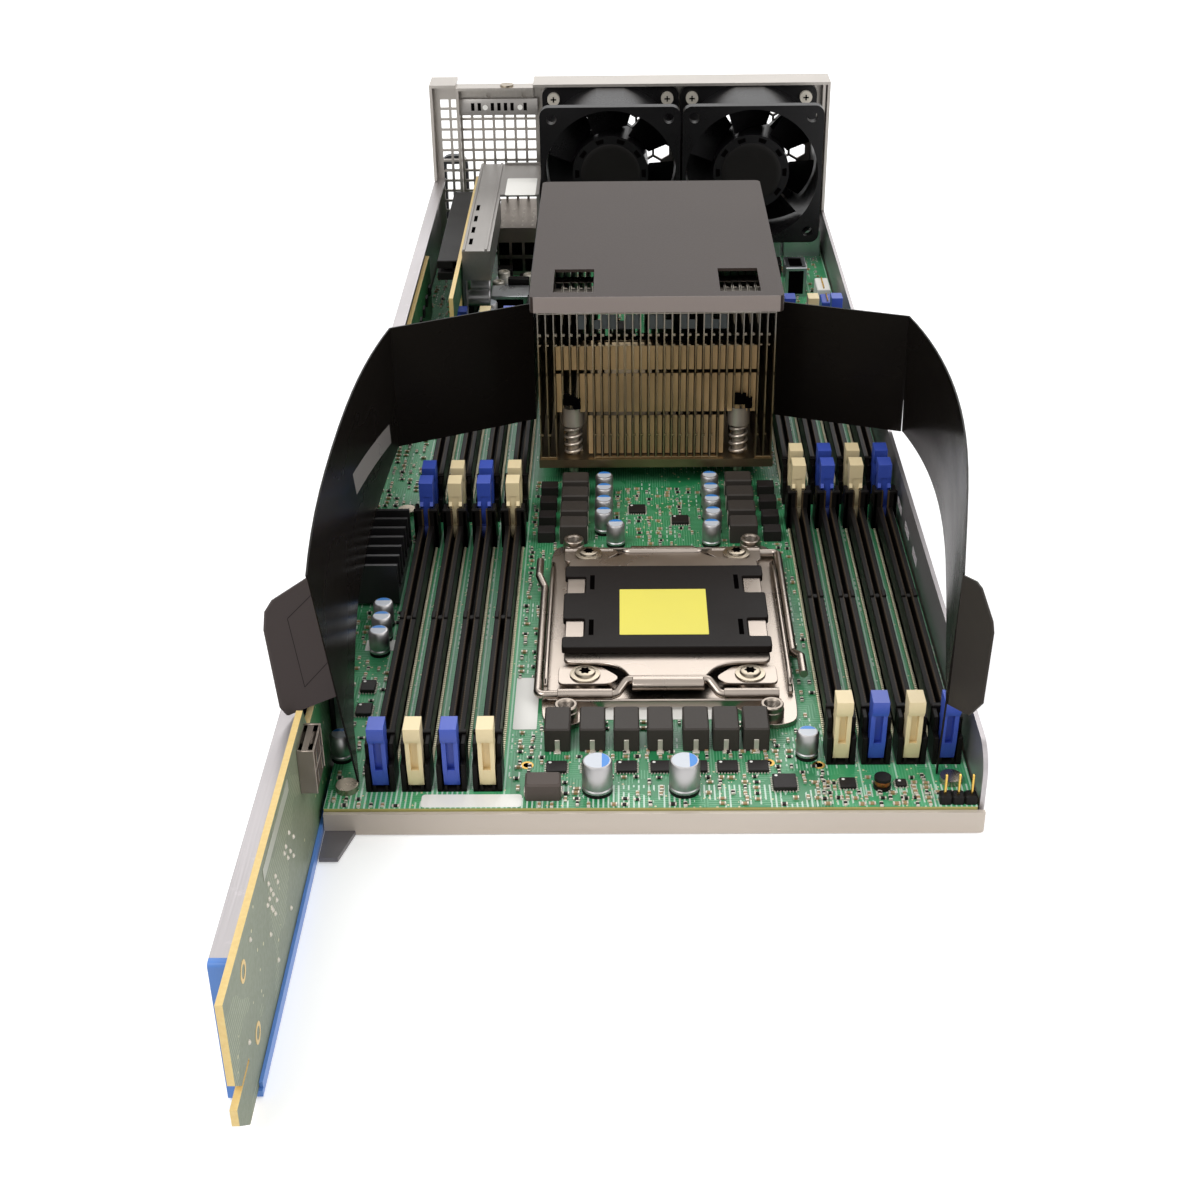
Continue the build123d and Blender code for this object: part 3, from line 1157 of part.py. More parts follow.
def make_ear(side, angle, top_point, foot_point, ear_shares):
    """Flat ear folded forward and outward along the strip's leaning front edge."""
    forward = radians(angle)
    foot_z = BOARD_TOP + FILM_FOOT
    corners = []
    for reach, rise in ear_shares:
        z = rise * FILM_TOP
        down = (FILM_TOP - z) / (FILM_TOP - foot_z)
        fold_x = top_point[0] + (foot_point[0] - top_point[0]) * down
        fold_y = top_point[1] + (foot_point[1] - top_point[1]) * down
        away = reach * EAR_REACH
        corners.append((fold_x + side * sin(forward) * away, fold_y - cos(forward) * away, z))
    face = make_face(Polyline(*corners, close=True))
    outward = (side * FILM, 0, 0)
    return extrude(face, amount=FILM, dir=outward)


def make_riser_card():
    """Upright riser card in its board slot, with an overhang above the memory latches."""
    y0 = RISER_FRONT
    y1 = RISER_REAR
    low = BOARD_TOP + RISER_SLOT_FLOOR
    points = ((y0 - RISER_OVERHANG, RISER_OVERHANG_Z), (y0, RISER_OVERHANG_Z), (y0, low), (y1, low),
              (y1, RISER_TOP), (y0 - RISER_OVERHANG, RISER_TOP))
    return side_shape(points, RISER_X, RISER_X + BOARD_THICKNESS)


def make_riser_slot():
    """Board slot under the riser card, with the expansion port on the card's side."""
    mid = RISER_X + BOARD_THICKNESS / 2
    slot = slab(mid - RISER_SLOT_WIDTH / 2, mid + RISER_SLOT_WIDTH / 2, RISER_SLOT_FRONT, RISER_SLOT_REAR,
                BOARD_TOP, BOARD_TOP + RISER_SLOT_HEIGHT)
    return slot - slab(RISER_X - RUNNING_FIT, RISER_X + BOARD_THICKNESS + RUNNING_FIT,
                       RISER_SLOT_FRONT - CUT_OVERRUN, RISER_SLOT_REAR + CUT_OVERRUN,
                       BOARD_TOP + RISER_SLOT_FLOOR, RISER_TOP)


def make_riser_port():
    """Expansion port on the riser card's left face, its mouth turned away from the card."""
    y0 = RISER_SLOT_FRONT - RISER_SLOT_WIDTH
    y1 = RISER_SLOT_REAR - RISER_SLOT_WIDTH
    x0 = RISER_X - RISER_PORT_WIDTH
    z0 = BOARD_TOP + RISER_PORT_LIFT
    port = slab(x0, RISER_X, y0, y1, z0, z0 + RISER_PORT_HEIGHT)
    mid = z0 + RISER_PORT_HEIGHT / 2
    return port - slab(x0 - CUT_OVERRUN, x0 + RISER_PORT_WIDTH * RISER_PORT_MOUTH_SHARE,
                       y0 + BOARD_THICKNESS, y1 - BOARD_THICKNESS, mid - GROOVE_WIDTH / 2,
                       mid + GROOVE_WIDTH / 2)


def make_riser_bracket():
    """Sheet bracket beside the riser: L-shaped top, side wall and two feet on the board."""
    x0 = BRACKET_X
    y0 = RISER_FRONT + BRACKET_INSET
    y1 = RISER_REAR
    y_cross = y0 + (y1 - y0) * BRACKET_CROSS_SHARE
    z1 = BRACKET_TOP
    z0 = z1 - BRACKET_SHEET
    strip = slab(x0, x0 + BRACKET_STRIP, y0, y1, z0, z1)
    cross = slab(x0, x0 + BRACKET_CROSS_X, y_cross, y1, z0, z1)
    inner_x = x0 + BRACKET_STRIP
    drop = slab(inner_x - BRACKET_SHEET, inner_x, y0, y_cross, z1 - BRACKET_DROP, z1)
    front = slab(x0, inner_x, y0, y0 + BRACKET_SHEET, z1 - BRACKET_DROP, z1)
    wall = slab(x0, x0 + BRACKET_SHEET, y0, y1, BOARD_TOP, z1)
    wall -= slab(x0 - CUT_OVERRUN, x0 + BRACKET_SHEET + CUT_OVERRUN, y0 + BRACKET_FOOT, y1 - BRACKET_FOOT,
                 BOARD_TOP - CUT_OVERRUN, z1 - BRACKET_DROP)
    side_x = x0 + BRACKET_CROSS_X
    leg = slab(side_x - BRACKET_SHEET, side_x, y_cross, y1, BOARD_TOP, z1)
    leg -= slab(side_x - BRACKET_SHEET - CUT_OVERRUN, side_x + CUT_OVERRUN, y_cross + BRACKET_FOOT,
                y1 - BRACKET_FOOT, BOARD_TOP - CUT_OVERRUN, z1 - BRACKET_DROP)
    bracket = strip + cross + drop + front + wall + leg
    for low, high in ((y0, y0 + BRACKET_FOOT), (y1 - BRACKET_FOOT, y1)):
        bracket += slab(x0, x0 + BRACKET_FOOT, low, high, BOARD_TOP, BOARD_TOP + BRACKET_SHEET)
    return bracket


def make_side_card():
    """Small upright card along the left rail, in a low socket."""
    y0 = FRONT + SIDE_CARD_FROM_LIP
    y1 = y0 + SIDE_CARD_LENGTH
    card = slab(SIDE_CARD_X, SIDE_CARD_X + BOARD_THICKNESS, y0, y1, BOARD_TOP + SHEET, SIDE_CARD_TOP)
    return card


def make_side_card_socket():
    """Low socket that holds the side card."""
    y0 = FRONT + SIDE_CARD_FROM_LIP + SIDE_CARD_SOCKET
    y1 = y0 + SIDE_CARD_LENGTH - SIDE_CARD_SOCKET * 2
    mid = SIDE_CARD_X + BOARD_THICKNESS / 2
    socket = slab(mid - SIDE_CARD_SOCKET / 2 + BOARD_EDGE_GAP, mid + SIDE_CARD_SOCKET / 2, y0, y1, BOARD_TOP,
                  BOARD_TOP + SIDE_CARD_SOCKET)
    return socket - slab(SIDE_CARD_X - RUNNING_FIT, SIDE_CARD_X + BOARD_THICKNESS + RUNNING_FIT,
                         y0 - CUT_OVERRUN, y1 + CUT_OVERRUN, BOARD_TOP + SHEET, SIDE_CARD_TOP)


def make_capacitor(x, y, radius, height):
    """Electrolytic capacitor: a can on a square base."""
    base = block_at(x, y, BOARD_TOP, radius * 2, radius * 2, CAP_BASE_HEIGHT)
    return base + post(x, y, BOARD_TOP + CAP_BASE_HEIGHT, BOARD_TOP + height, radius)


def capacitor_rows():
    """Places of the capacitors in the middle zone: as many rows as it has room for."""
    start, length = middle_zone()
    room = length - CAP_ROW_START - CAP_RADIUS_SMALL
    found = []
    for row in range(int(room / CAP_ROW_PITCH) + 1):
        y = start + CAP_ROW_START + row * CAP_ROW_PITCH
        shares = CAPACITOR_ROW_SHARES if row else CAPACITOR_FIRST_ROW_SHARES
        found += [(share * SIDE, y) for share in shares]
    return found


def make_capacitors():
    """All the board's electrolytic capacitors."""
    small_places = front_places(CAPACITOR_FRONT_SHARES) + capacitor_rows() + rear_places(CAPACITOR_REAR_SHARES)
    large = [make_capacitor(x, y, CAP_RADIUS_LARGE, CAP_HEIGHT_LARGE)
             for x, y in front_places(CAPACITOR_LARGE_SHARES)]
    return large + [make_capacitor(x, y, CAP_RADIUS_SMALL, CAP_HEIGHT_SMALL) for x, y in small_places]


def choke_rows():
    """Y of the inductor rows in the middle zone: as many as it has room for."""
    start, length = middle_zone()
    pitch = CHOKE_Y + CHOKE_ROW_GAP
    count = int((length - CHOKE_ROW_START + CHOKE_ROW_GAP) / pitch)
    return [start + CHOKE_ROW_START + CHOKE_Y / 2 + row * pitch for row in range(count)]


def make_chokes():
    """Square power inductors in front of and behind the front processor."""
    chokes = []
    for share in CHOKE_FRONT_SHARES:
        chokes.append(block_at(share * SIDE, FRONT + CHOKE_FRONT_FROM_LIP, BOARD_TOP, CHOKE_X, CHOKE_Y,
                               CHOKE_HEIGHT))
    for share in CHOKE_REAR_SHARES:
        for y in choke_rows():
            chokes.append(block_at(share * SIDE, y, BOARD_TOP, CHOKE_X * CHOKE_REAR_SHARE, CHOKE_Y,
                                   CHOKE_HEIGHT))
    return chokes


def make_stages():
    """Power stages beside the inductors."""
    driver_y = FRONT + CHOKE_FRONT_FROM_LIP - CHOKE_Y / 2 - DRIVER_GAP - DRIVER_Y / 2
    stages = []
    for share in STAGE_REAR_SHARES:
        for y in choke_rows():
            stages.append(block_at(share * SIDE, y, BOARD_TOP, STAGE_X, STAGE_Y, STAGE_HEIGHT))
    for share in CHOKE_FRONT_SHARES:
        stages.append(block_at(share * SIDE, driver_y, BOARD_TOP, DRIVER_X, DRIVER_Y, DRIVER_HEIGHT))
    return stages


def make_chips():
    """Flat packages on the board."""
    chips = []
    groups = (
        (front_places(CHIP_FRONT_SHARES), CHIP_FRONT_SIZES),
        (places(CHIP_MIDDLE_SHARES, *middle_zone()), [CHIP_MIDDLE_SIZE] * len(CHIP_MIDDLE_SHARES)),
        (rear_places(CHIP_REAR_SHARES), CHIP_REAR_SIZES),
    )
    for spots, sizes in groups:
        for (x, y), size in zip(spots, sizes):
            chips.append(block_at(x, y, BOARD_TOP, *size))
    return chips


def make_header():
    """Pin header at the board's front right corner."""
    x = HEADER_SHARE * SIDE
    y = FRONT + HEADER_FROM_LIP + HEADER_Y / 2
    header = block_at(x, y, BOARD_TOP, HEADER_X, HEADER_Y, HEADER_HEIGHT)
    for index in range(HEADER_PINS):
        pin_x = x + (index - (HEADER_PINS - 1) / 2) * HEADER_PITCH
        header += block_at(pin_x, y, BOARD_TOP, HEADER_PIN, HEADER_PIN, HEADER_PIN_HEIGHT)
    return header


def make_chipset_heatsink():
    """Small black finned heatsink on the controller chip."""
    x = CHIPSET_CENTRE_X
    y = FRONT + CHIPSET_FROM_LIP
    z = BOARD_TOP + CHIPSET_DIE
    sink = block_at(x, y, z, CHIPSET_X, CHIPSET_Y, CHIPSET_BASE)
    for index in range(CHIPSET_FINS):
        fin_y = y - CHIPSET_Y / 2 + CHIPSET_FIN / 2 + index * (CHIPSET_Y - CHIPSET_FIN) / (CHIPSET_FINS - 1)
        sink += block_at(x, fin_y, z, CHIPSET_X, CHIPSET_FIN, CHIPSET_HEIGHT)
    return sink


def make_chipset_chip():
    """Controller chip under the small heatsink."""
    return block_at(CHIPSET_CENTRE_X, FRONT + CHIPSET_FROM_LIP, BOARD_TOP, CHIPSET_X - SHEET,
                    CHIPSET_Y / 2, CHIPSET_DIE)


def make_port(x, width, height, depth):
    """Rear connector shell with an open mouth towards the outside."""
    y1 = PANEL_INNER - PORT_FRONT_GAP
    z1 = BOARD_TOP + height
    shell = slab(x - width / 2, x + width / 2, y1 - depth, y1, BOARD_TOP, z1)
    return shell - slab(x - width / 2 + PORT_MOUTH_INSET, x + width / 2 - PORT_MOUTH_INSET,
                        y1 - PORT_MOUTH_DEPTH, y1 + CUT_OVERRUN, BOARD_TOP + PORT_MOUTH_INSET,
                        z1 - PORT_MOUTH_INSET)


def make_release_lever():
    """Release lever: barrel on its pin and a finger loop that lies against the panel."""
    y = REAR + LEVER_STANDOFF
    y0 = y - LEVER_THICKNESS / 2
    y1 = y + LEVER_THICKNESS / 2
    half = LEVER_WIDTH / 2
    arm = slab(LEVER_X - half, LEVER_X + half, y0, y1, LEVER_PIVOT_Z, LEVER_LOOP_TOP)
    arm = fillet(arm.edges().filter_by(Axis.Y).group_by(Axis.Z)[-1], half * LEVER_CORNER_SHARE)
    arm -= slab(LEVER_X - half + LEVER_LOOP_WALL, LEVER_X + half - LEVER_LOOP_WALL, y0 - CUT_OVERRUN,
                y1 + CUT_OVERRUN, LEVER_LOOP_BOTTOM, LEVER_LOOP_TOP - LEVER_LOOP_WALL * LEVER_LOOP_END_SHARE)
    arm += rod_x(LEVER_X - half, LEVER_X + half, y, LEVER_PIVOT_Z, LEVER_BARREL_RADIUS)
    return arm - rod_x(LEVER_X - half - CUT_OVERRUN, LEVER_X + half + CUT_OVERRUN, y, LEVER_PIVOT_Z,
                       LEVER_PIN_RADIUS + RUNNING_FIT)


def save_sockets():
    """Memory sockets as two nodes, front banks and rear banks."""
    for row in ("front", "rear"):
        banks = [BANKS[f"{row}_left"], BANKS[f"{row}_right"]]
        save(f"memory_sockets_{row}", [make_socket(x, y) for bank_x, y in banks for x in socket_columns(bank_x)])


def save_latches():
    """Front bank latches one by one, rear bank latches one node for each end of a bank."""
    for bank in ("front_left", "front_right"):
        bank_x, bank_y = BANKS[bank]
        for index, x in enumerate(socket_columns(bank_x), start=1):
            for end, side in (("front", -1), ("rear", 1)):
                save(f"latch_{bank}_{index}_{end}", make_latch(x, bank_y, side))
    for bank in ("rear_left", "rear_right"):
        bank_x, bank_y = BANKS[bank]
        for end, side in (("front", -1), ("rear", 1)):
            save(f"latches_{bank}_{end}", [make_latch(x, bank_y, side) for x in socket_columns(bank_x)])


def main():
    """Build every node and write its file."""
    os.makedirs("parts", exist_ok=True)
    save("base_tray", [make_tray(), make_gusset()])
    save("left_rail", make_rail())
    save("card_guide", make_guide())
    save("adapter_card", make_adapter_card())
    save("rear_panel", make_rear_panel())
    save("card_clamp", make_strap())
    save("motherboard", make_board())
    save("standoffs", make_standoffs())
    save("board_screws", make_board_screws() + [make_strap_screw()])
    save_sockets()
    save_latches()
    save("cpu_sockets", [make_socket_body(CPU_FRONT), make_socket_body(CPU_REAR)])
    save("front_retention_frame", make_retention_frame(CPU_FRONT))
    save("heatsink_studs", make_studs(CPU_FRONT) + make_studs(CPU_REAR))
    save("frame_screws", make_frame_screws(CPU_FRONT))
    save("load_plate", make_load_plate(CPU_FRONT))
    save("load_lever_left", make_load_lever(CPU_FRONT, -1))
    save("load_lever_right", make_load_lever(CPU_FRONT, 1))
    save("socket_cap", make_socket_cap(CPU_FRONT))
    save("rear_cpu_package", make_package(CPU_REAR))
    save("heatsink_base", make_heatsink_base())
    save("heatsink_fins", make_fins())
    save("heatsink_screws", make_heat_screws())
    save("heatsink_springs", make_springs())
    save("heatsink_hood", make_hood())
    save("left_air_flap", make_flap(-1, LEFT_FLAP_TOP_SHARES, LEFT_FLAP_FOOT_SHARES, LEFT_FLAP_EDGE_SHARES,
                                    LEFT_EAR_ANGLE, LEFT_EAR_SHARES, HOOD_X0))
    save("right_air_flap", make_flap(1, RIGHT_FLAP_TOP_SHARES, RIGHT_FLAP_FOOT_SHARES,
                                     RIGHT_FLAP_EDGE_SHARES, RIGHT_EAR_ANGLE, RIGHT_EAR_SHARES, HOOD_X1))
    for name, x in FAN_CENTRES.items():
        save(f"{name}_fan_frame", make_fan_frame(x))
        save(f"{name}_fan_rotor", make_fan_rotor(x))
    save("fan_screws", make_fan_screws())
    save("riser_card", [make_riser_card(), make_side_card()])
    save("card_connectors", [make_adapter_connector(), make_card_shell(), make_riser_slot(), make_riser_port(),
                             make_side_card_socket()])
    save("riser_bracket", make_riser_bracket())
    save("chipset_heatsink", make_chipset_heatsink())
    save("capacitors", make_capacitors())
    save("board_chips", make_chokes() + make_stages() + make_chips() + [make_header(), make_chipset_chip()])
    ports = [make_port(x, LAN_X, LAN_HEIGHT, LAN_DEPTH) for x in LAN_CENTRES]
    ports.append(make_port(USB_CENTRE, USB_X, USB_HEIGHT, USB_DEPTH))
    ports.append(make_port(VIDEO_CENTRE, VIDEO_X, VIDEO_HEIGHT, VIDEO_DEPTH))
    save("rear_ports", ports)
    save("release_lever", make_release_lever())


main()
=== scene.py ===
import bpy
import bmesh
import math
import numpy as np
from mathutils import Matrix


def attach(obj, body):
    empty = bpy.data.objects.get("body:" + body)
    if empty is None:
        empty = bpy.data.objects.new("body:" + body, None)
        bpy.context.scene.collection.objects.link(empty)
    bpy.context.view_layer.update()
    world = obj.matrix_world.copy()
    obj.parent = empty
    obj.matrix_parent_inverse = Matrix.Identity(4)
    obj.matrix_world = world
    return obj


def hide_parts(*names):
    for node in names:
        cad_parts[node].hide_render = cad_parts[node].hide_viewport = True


# Looks of a two-processor server sled. Lengths are in millimetres, in the frame of the solids.
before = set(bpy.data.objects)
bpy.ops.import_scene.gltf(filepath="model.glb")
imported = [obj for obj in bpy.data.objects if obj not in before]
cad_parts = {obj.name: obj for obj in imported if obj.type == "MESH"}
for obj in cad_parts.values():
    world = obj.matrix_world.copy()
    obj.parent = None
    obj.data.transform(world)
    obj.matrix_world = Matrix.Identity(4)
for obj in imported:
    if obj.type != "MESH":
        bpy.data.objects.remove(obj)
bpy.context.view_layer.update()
MM = 0.001
TURN = 2 * math.pi

# Sizes repeated from the solids
LENGTH = 433.0
SIDE = 88.0
SHEET = 1.2
FRONT = -LENGTH / 2
REAR = LENGTH / 2
BOARD = 7.3
SOCKET_PITCH = 9.23
LATCH_REACH = 66.5
TOWER_REACH = 65.4
SOCKET_WALL = 122.6
SOCKET_KEY = 5.6
CAP_Z = 13.0
CAP_FACE = 15.2
PIVOT_Z = 10.6
BANKS = {
    "front_left": (-52.55, FRONT + 78.3), "front_right": (67.15, FRONT + 89.5),
    "rear_left": (-52.55, FRONT + 226.6), "rear_right": (67.15, FRONT + 237.8),
}
CPU = (8.7, FRONT + 87.4)
COOLER = (7.6, FRONT + 235.7)
COOLER_FRONT = COOLER[1] - 53.4
FIN_Z = 17.4
HOOD = (-33.65, 48.85, COOLER_FRONT + 0.2, COOLER_FRONT + 122.2, 70.0, 75.4)
FANS = {"left": -8.5, "right": 52.4}
FAN_Z = 49.5
FAN_REAR = REAR - SHEET
FAN_FRONT = FAN_REAR - 38.0


def maths(operation, swapped=False):
    """A method that adds a Math node of the value and any other terms."""
    def method(self, *others):
        terms = (*others, self) if swapped else (self, *others)
        return self.graph.node("Math", {"operation": operation}, *terms)
    return method


class Value:
    """A socket whose Python operators add Math nodes."""

    def __init__(self, graph, socket):
        self.graph, self.socket = graph, socket

    __add__ = __radd__ = maths("ADD")
    __mul__ = __rmul__ = maths("MULTIPLY")
    __sub__, __rsub__ = maths("SUBTRACT"), maths("SUBTRACT", swapped=True)
    __truediv__, __mod__ = maths("DIVIDE"), maths("FLOORED_MODULO")
    __lt__, __gt__ = maths("LESS_THAN"), maths("GREATER_THAN")
    __abs__, most = maths("ABSOLUTE"), maths("MAXIMUM")


class Graph:
    """A node tree filled by short calls; colours may be given as hex codes."""

    def __init__(self, tree):
        self.tree = tree

    def node(self, kind, settings=(), *values, out=0, **named):
        made = self.tree.nodes.new("ShaderNode" + kind)
        for key, value in dict(settings).items():
            setattr(made, key, value)
        for index, value in enumerate(values):
            self.feed(made.inputs[index], value)
        for key, value in named.items():
            self.feed(made.inputs[key.replace("_", " ")], value)
        return Value(self, made.outputs[out])

    def feed(self, socket, value):
        if isinstance(value, str):
            value = srgb(value)
        if isinstance(value, Value):
            self.tree.links.new(value.socket, socket)
        elif isinstance(value, tuple) and len(value) == 3 and len(socket.default_value) == 4:
            socket.default_value = (*value, 1.0)
        else:
            socket.default_value = value

    def seen(self):
        """1 for rays from the camera, off a reflection or through glass."""
        rays = [self.node("LightPath", out=f"Is {kind} Ray") for kind in ("Camera", "Glossy", "Transmission")]
        return rays[0].most(rays[1]).most(rays[2])


class Finish(Graph):
    """A procedural material; patterns are read from Object coordinates, in metres."""

    def __init__(self, name, colour, rough, metal=0.0, glint=0.5):
        self.material = bpy.data.materials.new(name)
        self.material.use_nodes = True
        super().__init__(self.material.node_tree)
        self.shader = self.tree.nodes["Principled BSDF"]
        self.spot = self.node("TexCoord", out="Object")
        self.set(Base_Color=colour, Roughness=rough, Metallic=metal, Specular_IOR_Level=glint)

    def set(self, **sockets):
        for key, value in sockets.items():
            self.feed(self.shader.inputs[key.replace("_", " ")], value)
        return self

    def axis(self, letter, where=None):
        """One object coordinate in metres, or one part of another vector."""
        return self.node("SeparateXYZ", (), where or self.spot, out="XYZ".index(letter))

    def facing(self):
        """How far the surface looks along x, from -1 to 1."""
        return self.axis("X", self.node("NewGeometry", out="Normal"))

    def stretched(self, x, y, z):
        """Object coordinates scaled along each axis, for grain that runs one way."""
        return self.node("Mapping", (), self.spot, Scale=(x, y, z))

    def grain(self, scale, detail=2.0, where=None, rough=0.5):
        """Noise from 0 to 1."""
        return self.node("TexNoise", (), where or self.spot, Scale=scale, Detail=detail, Roughness=rough)

    def cells(self, scale, out=0):
        """Voronoi distance, or another of its outputs."""
        return self.node("TexVoronoi", (), self.spot, Scale=scale, out=out)

    def between(self, value, low, high):
        """Value rescaled to 0 at low and 1 at high, clamped."""
        return self.node("MapRange", (), value, low, high, 0.0, 1.0)

    def mix(self, mask, first, second):
        """First colour where the mask is 0, second where it is 1."""
        made = self.tree.nodes.new("ShaderNodeMix")
        made.data_type = "RGBA"
        for index, value in ((0, mask), (6, first), (7, second)):
            self.feed(made.inputs[index], value)
        return Value(self, made.outputs[2])

    def tones(self, mask, code, dark, light):
        """A colour taken from one factor of itself to another."""
        return self.mix(mask, shade(code, dark), shade(code, light))

    def stripes(self, letter, pitch, share):
        """1 on the first share of each pitch along an axis."""
        return ((self.axis(letter) / pitch) % 1.0) < share

    def layers(self, base, *coats):
        """Colours laid over a base one after another, each where its mask is 1."""
        for mask, colour in coats:
            base = self.mix(mask, base, colour)
        return base

    def look(self, colour, rough, height, depth, **sockets):
        """The finished surface: colour, roughness and relief, its depth in metres."""
        relief = self.node("Bump", Height=height, Distance=depth, Strength=1.0)
        return self.set(Base_Color=colour, Roughness=rough, Normal=relief, **sockets)


def srgb(code):
    """Linear colour from a hex code."""
    parts = np.array([int(code[i:i + 2], 16) for i in (0, 2, 4)]) / 255
    line = np.where(parts <= 0.04045, parts / 12.92, ((parts + 0.055) / 1.055) ** 2.4)
    return tuple(float(value) for value in line)


def shade(code, factor):
    """Linear colour from a hex code, lighter or darker by a factor."""
    return tuple(min(1.0, part * factor) for part in srgb(code))


# Finishes

def rolled(finish, code, run):
    """Rolling lines along one axis under a cloudy tone: the lines, the colour and the roughness they give."""
    ways = {"X": (8, 400, 400), "Y": (400, 8, 400), "Z": (400, 400, 8)}
    rolling = finish.grain(3.0, 3.0, finish.stretched(*ways[run]))
    cloud = finish.grain(22.0, 3.0)
    return rolling, finish.tones(rolling * 0.5 + cloud * 0.5, code, 0.78, 1.12), rolling * 0.16 + cloud * 0.16


def sheet_steel(name, code, rough=0.34, run="Y"):
    """Zinc plated sheet: faint rolling lines along one axis, cloudy tone and small scuffs."""
    finish = Finish(name, code, rough, 0.85)
    rolling, tone, dull = rolled(finish, code, run)
    scuff = finish.between(finish.grain(160.0, 4.0, rough=0.7), 0.62, 0.74)
    return finish.look(finish.mix(scuff * 0.35, tone, shade(code, 1.35)), dull + (rough - 0.12), rolling, 0.00003)


def moulded(name, code, rough=0.42, spread=0.16, metal=0.0, glint=0.5):
    """Moulded plastic: fine spark-eroded grain and slight tone changes."""
    finish = Finish(name, code, rough, metal, glint)
    cloud, fine = finish.grain(60.0, 3.0), finish.grain(2600.0, 2.0)
    tone = finish.tones(cloud, code, 1 - spread, 1 + spread)
    return finish.look(tone, cloud * 0.14 + fine * 0.10 + (rough - 0.12), fine, 0.00002)


def bright_metal(name, code, rough=0.22, spread=0.25, scale=180.0):
    """Plated steel or nickel with soft stains and fine pitting."""
    finish = Finish(name, code, rough, 1.0)
    cloud = finish.grain(scale, 3.0)
    tone = finish.tones(cloud, code, 1 - spread, 1 + spread)
    return finish.look(tone, cloud * 0.16 + (rough - 0.06), finish.grain(1400.0, 2.0), 0.00001)


def fin_finish():
    """Nickel on copper: warm stains in level bands, two dark lines, and a lighter grey band of painted light near the
    top that stands in for light seen through the stack from behind.
    """
    finish = Finish("fin_nickel", "8f8069", 0.34, 1.0)
    z = finish.axis("Z")
    cloud = finish.grain(60.0, 4.0, finish.stretched(1, 0.3, 1.5))
    level = (abs(z - 0.0481) < 0.0006) + (abs(z - 0.0329) < 0.0006)
    # painted light: a lighter grey band near the top of the fins, for light seen through the stack from behind
    backlit_band = finish.between(z, 0.056, 0.064)
    tone = finish.layers(finish.mix(cloud, "6b5a42", "b3a07f"), (level * 0.75, "1d1712"), (backlit_band * 0.6, "a7a6a6"))
    return finish.look(tone, cloud * 0.2 + 0.26, cloud, 0.00008)


def tray_finish():
    """The tray's zinc sheet, with a duller cream tone along the front lip and a dark plate beyond its left end."""
    finish = Finish("tray_sheet", "b9b4b5", 0.36, 0.8)
    rolling, tone, dull = rolled(finish, "b9b4b5", "X")
    wear = finish.grain(9.0, 3.0, finish.stretched(1, 1, 6))
    front = finish.axis("Y") < (FRONT + 1.5) * MM
    lip = front * (finish.axis("X") > -0.0803)
    dark = front * (finish.axis("X") < -0.0724) * (finish.axis("Z") < 0.0013)
    tone = finish.layers(tone, (lip, finish.mix(wear, "bcafa2", "ccc2b7")), (dark, "6d696b"))
    return finish.look(tone, dull + 0.26, rolling, 0.00003, Metallic=0.8 - lip * 0.65)


def socket_finish():
    """Black moulding with the brown comb of contacts along both lips of each slot."""
    finish = Finish("socket_moulding", "151312", 0.5, glint=0.08)
    cloud = finish.grain(60.0, 3.0)
    x = finish.axis("X") * 1000.0
    left = 7.445 - (x > 0.0) * 0.29
    away = abs((x - left + SOCKET_PITCH / 2) % SOCKET_PITCH - SOCKET_PITCH / 2)
    comb = (away > 0.7) * (away < 1.2) * (finish.axis("Z") > 0.0148) * finish.stripes("Y", 0.00085, 0.5)
    tone = finish.layers(finish.mix(cloud, "0e0c0b", "1a1716"), (comb * 0.6, "5d4d38"))
    return finish.look(tone, cloud * 0.16 + 0.34, cloud, 0.00003)


def board_finish():
    """Green solder mask over copper: traces, vias, pads and pale component outlines, with a lighter green of painted
    light between the memory sockets.
    """
    finish = Finish("solder_mask", "2b8550", 0.32, glint=0.45)
    x, y = finish.axis("X"), finish.axis("Y")
    cloud = finish.grain(30.0, 3.0)
    pick = finish.node("SeparateColor", (), finish.cells(150.0, out="Color"))
    trace = finish.stripes("Y", 0.0009, 0.42) * (pick > 0.62) + finish.stripes("X", 0.0008, 0.42) * (pick < 0.40)
    column = (x * 1000.0 - 2.2 - (x > 0.0) * 0.3) % SOCKET_PITCH
    banks = (x < -0.033) * (x > -0.0775) + (x > 0.050)
    comb = finish.stripes("X", 0.0013, 0.34) * (y < (FRONT + 11.0) * MM) * (finish.grain(110.0, 1.0) > 0.45)
    via = (finish.cells(520.0) < 0.17) * (finish.grain(70.0, 1.0) > 0.50)
    rows = finish.stripes("X", 0.0026, 0.16) * finish.stripes("Y", 0.0031, 0.62)
    busy = (finish.grain(55.0, 1.0, finish.stretched(1, 1, 0)) > 0.53) * (pick > 0.3)
    edge = finish.axis("Z") < (BOARD - 0.15) * MM
    # painted light: the board between the memory sockets is lightened, standing in for light that reaches it between
    # the sockets' walls
    tone = finish.layers(
        finish.mix(cloud, "1f7546", "37935d"), (trace * 0.5, "78bd92"), (banks * 0.5, "4db57a"),
        (banks * (column < 0.45) * 0.8, "b9e0c6"), (comb * 0.85, "cfe3d4"), (via, "d9d2a8"),
        (rows * busy * 0.8, "cfe0d2"), (edge, "b9b06a"))
    return finish.look(tone, cloud * 0.12 + 0.28, trace * 0.5 + via, 0.00004)


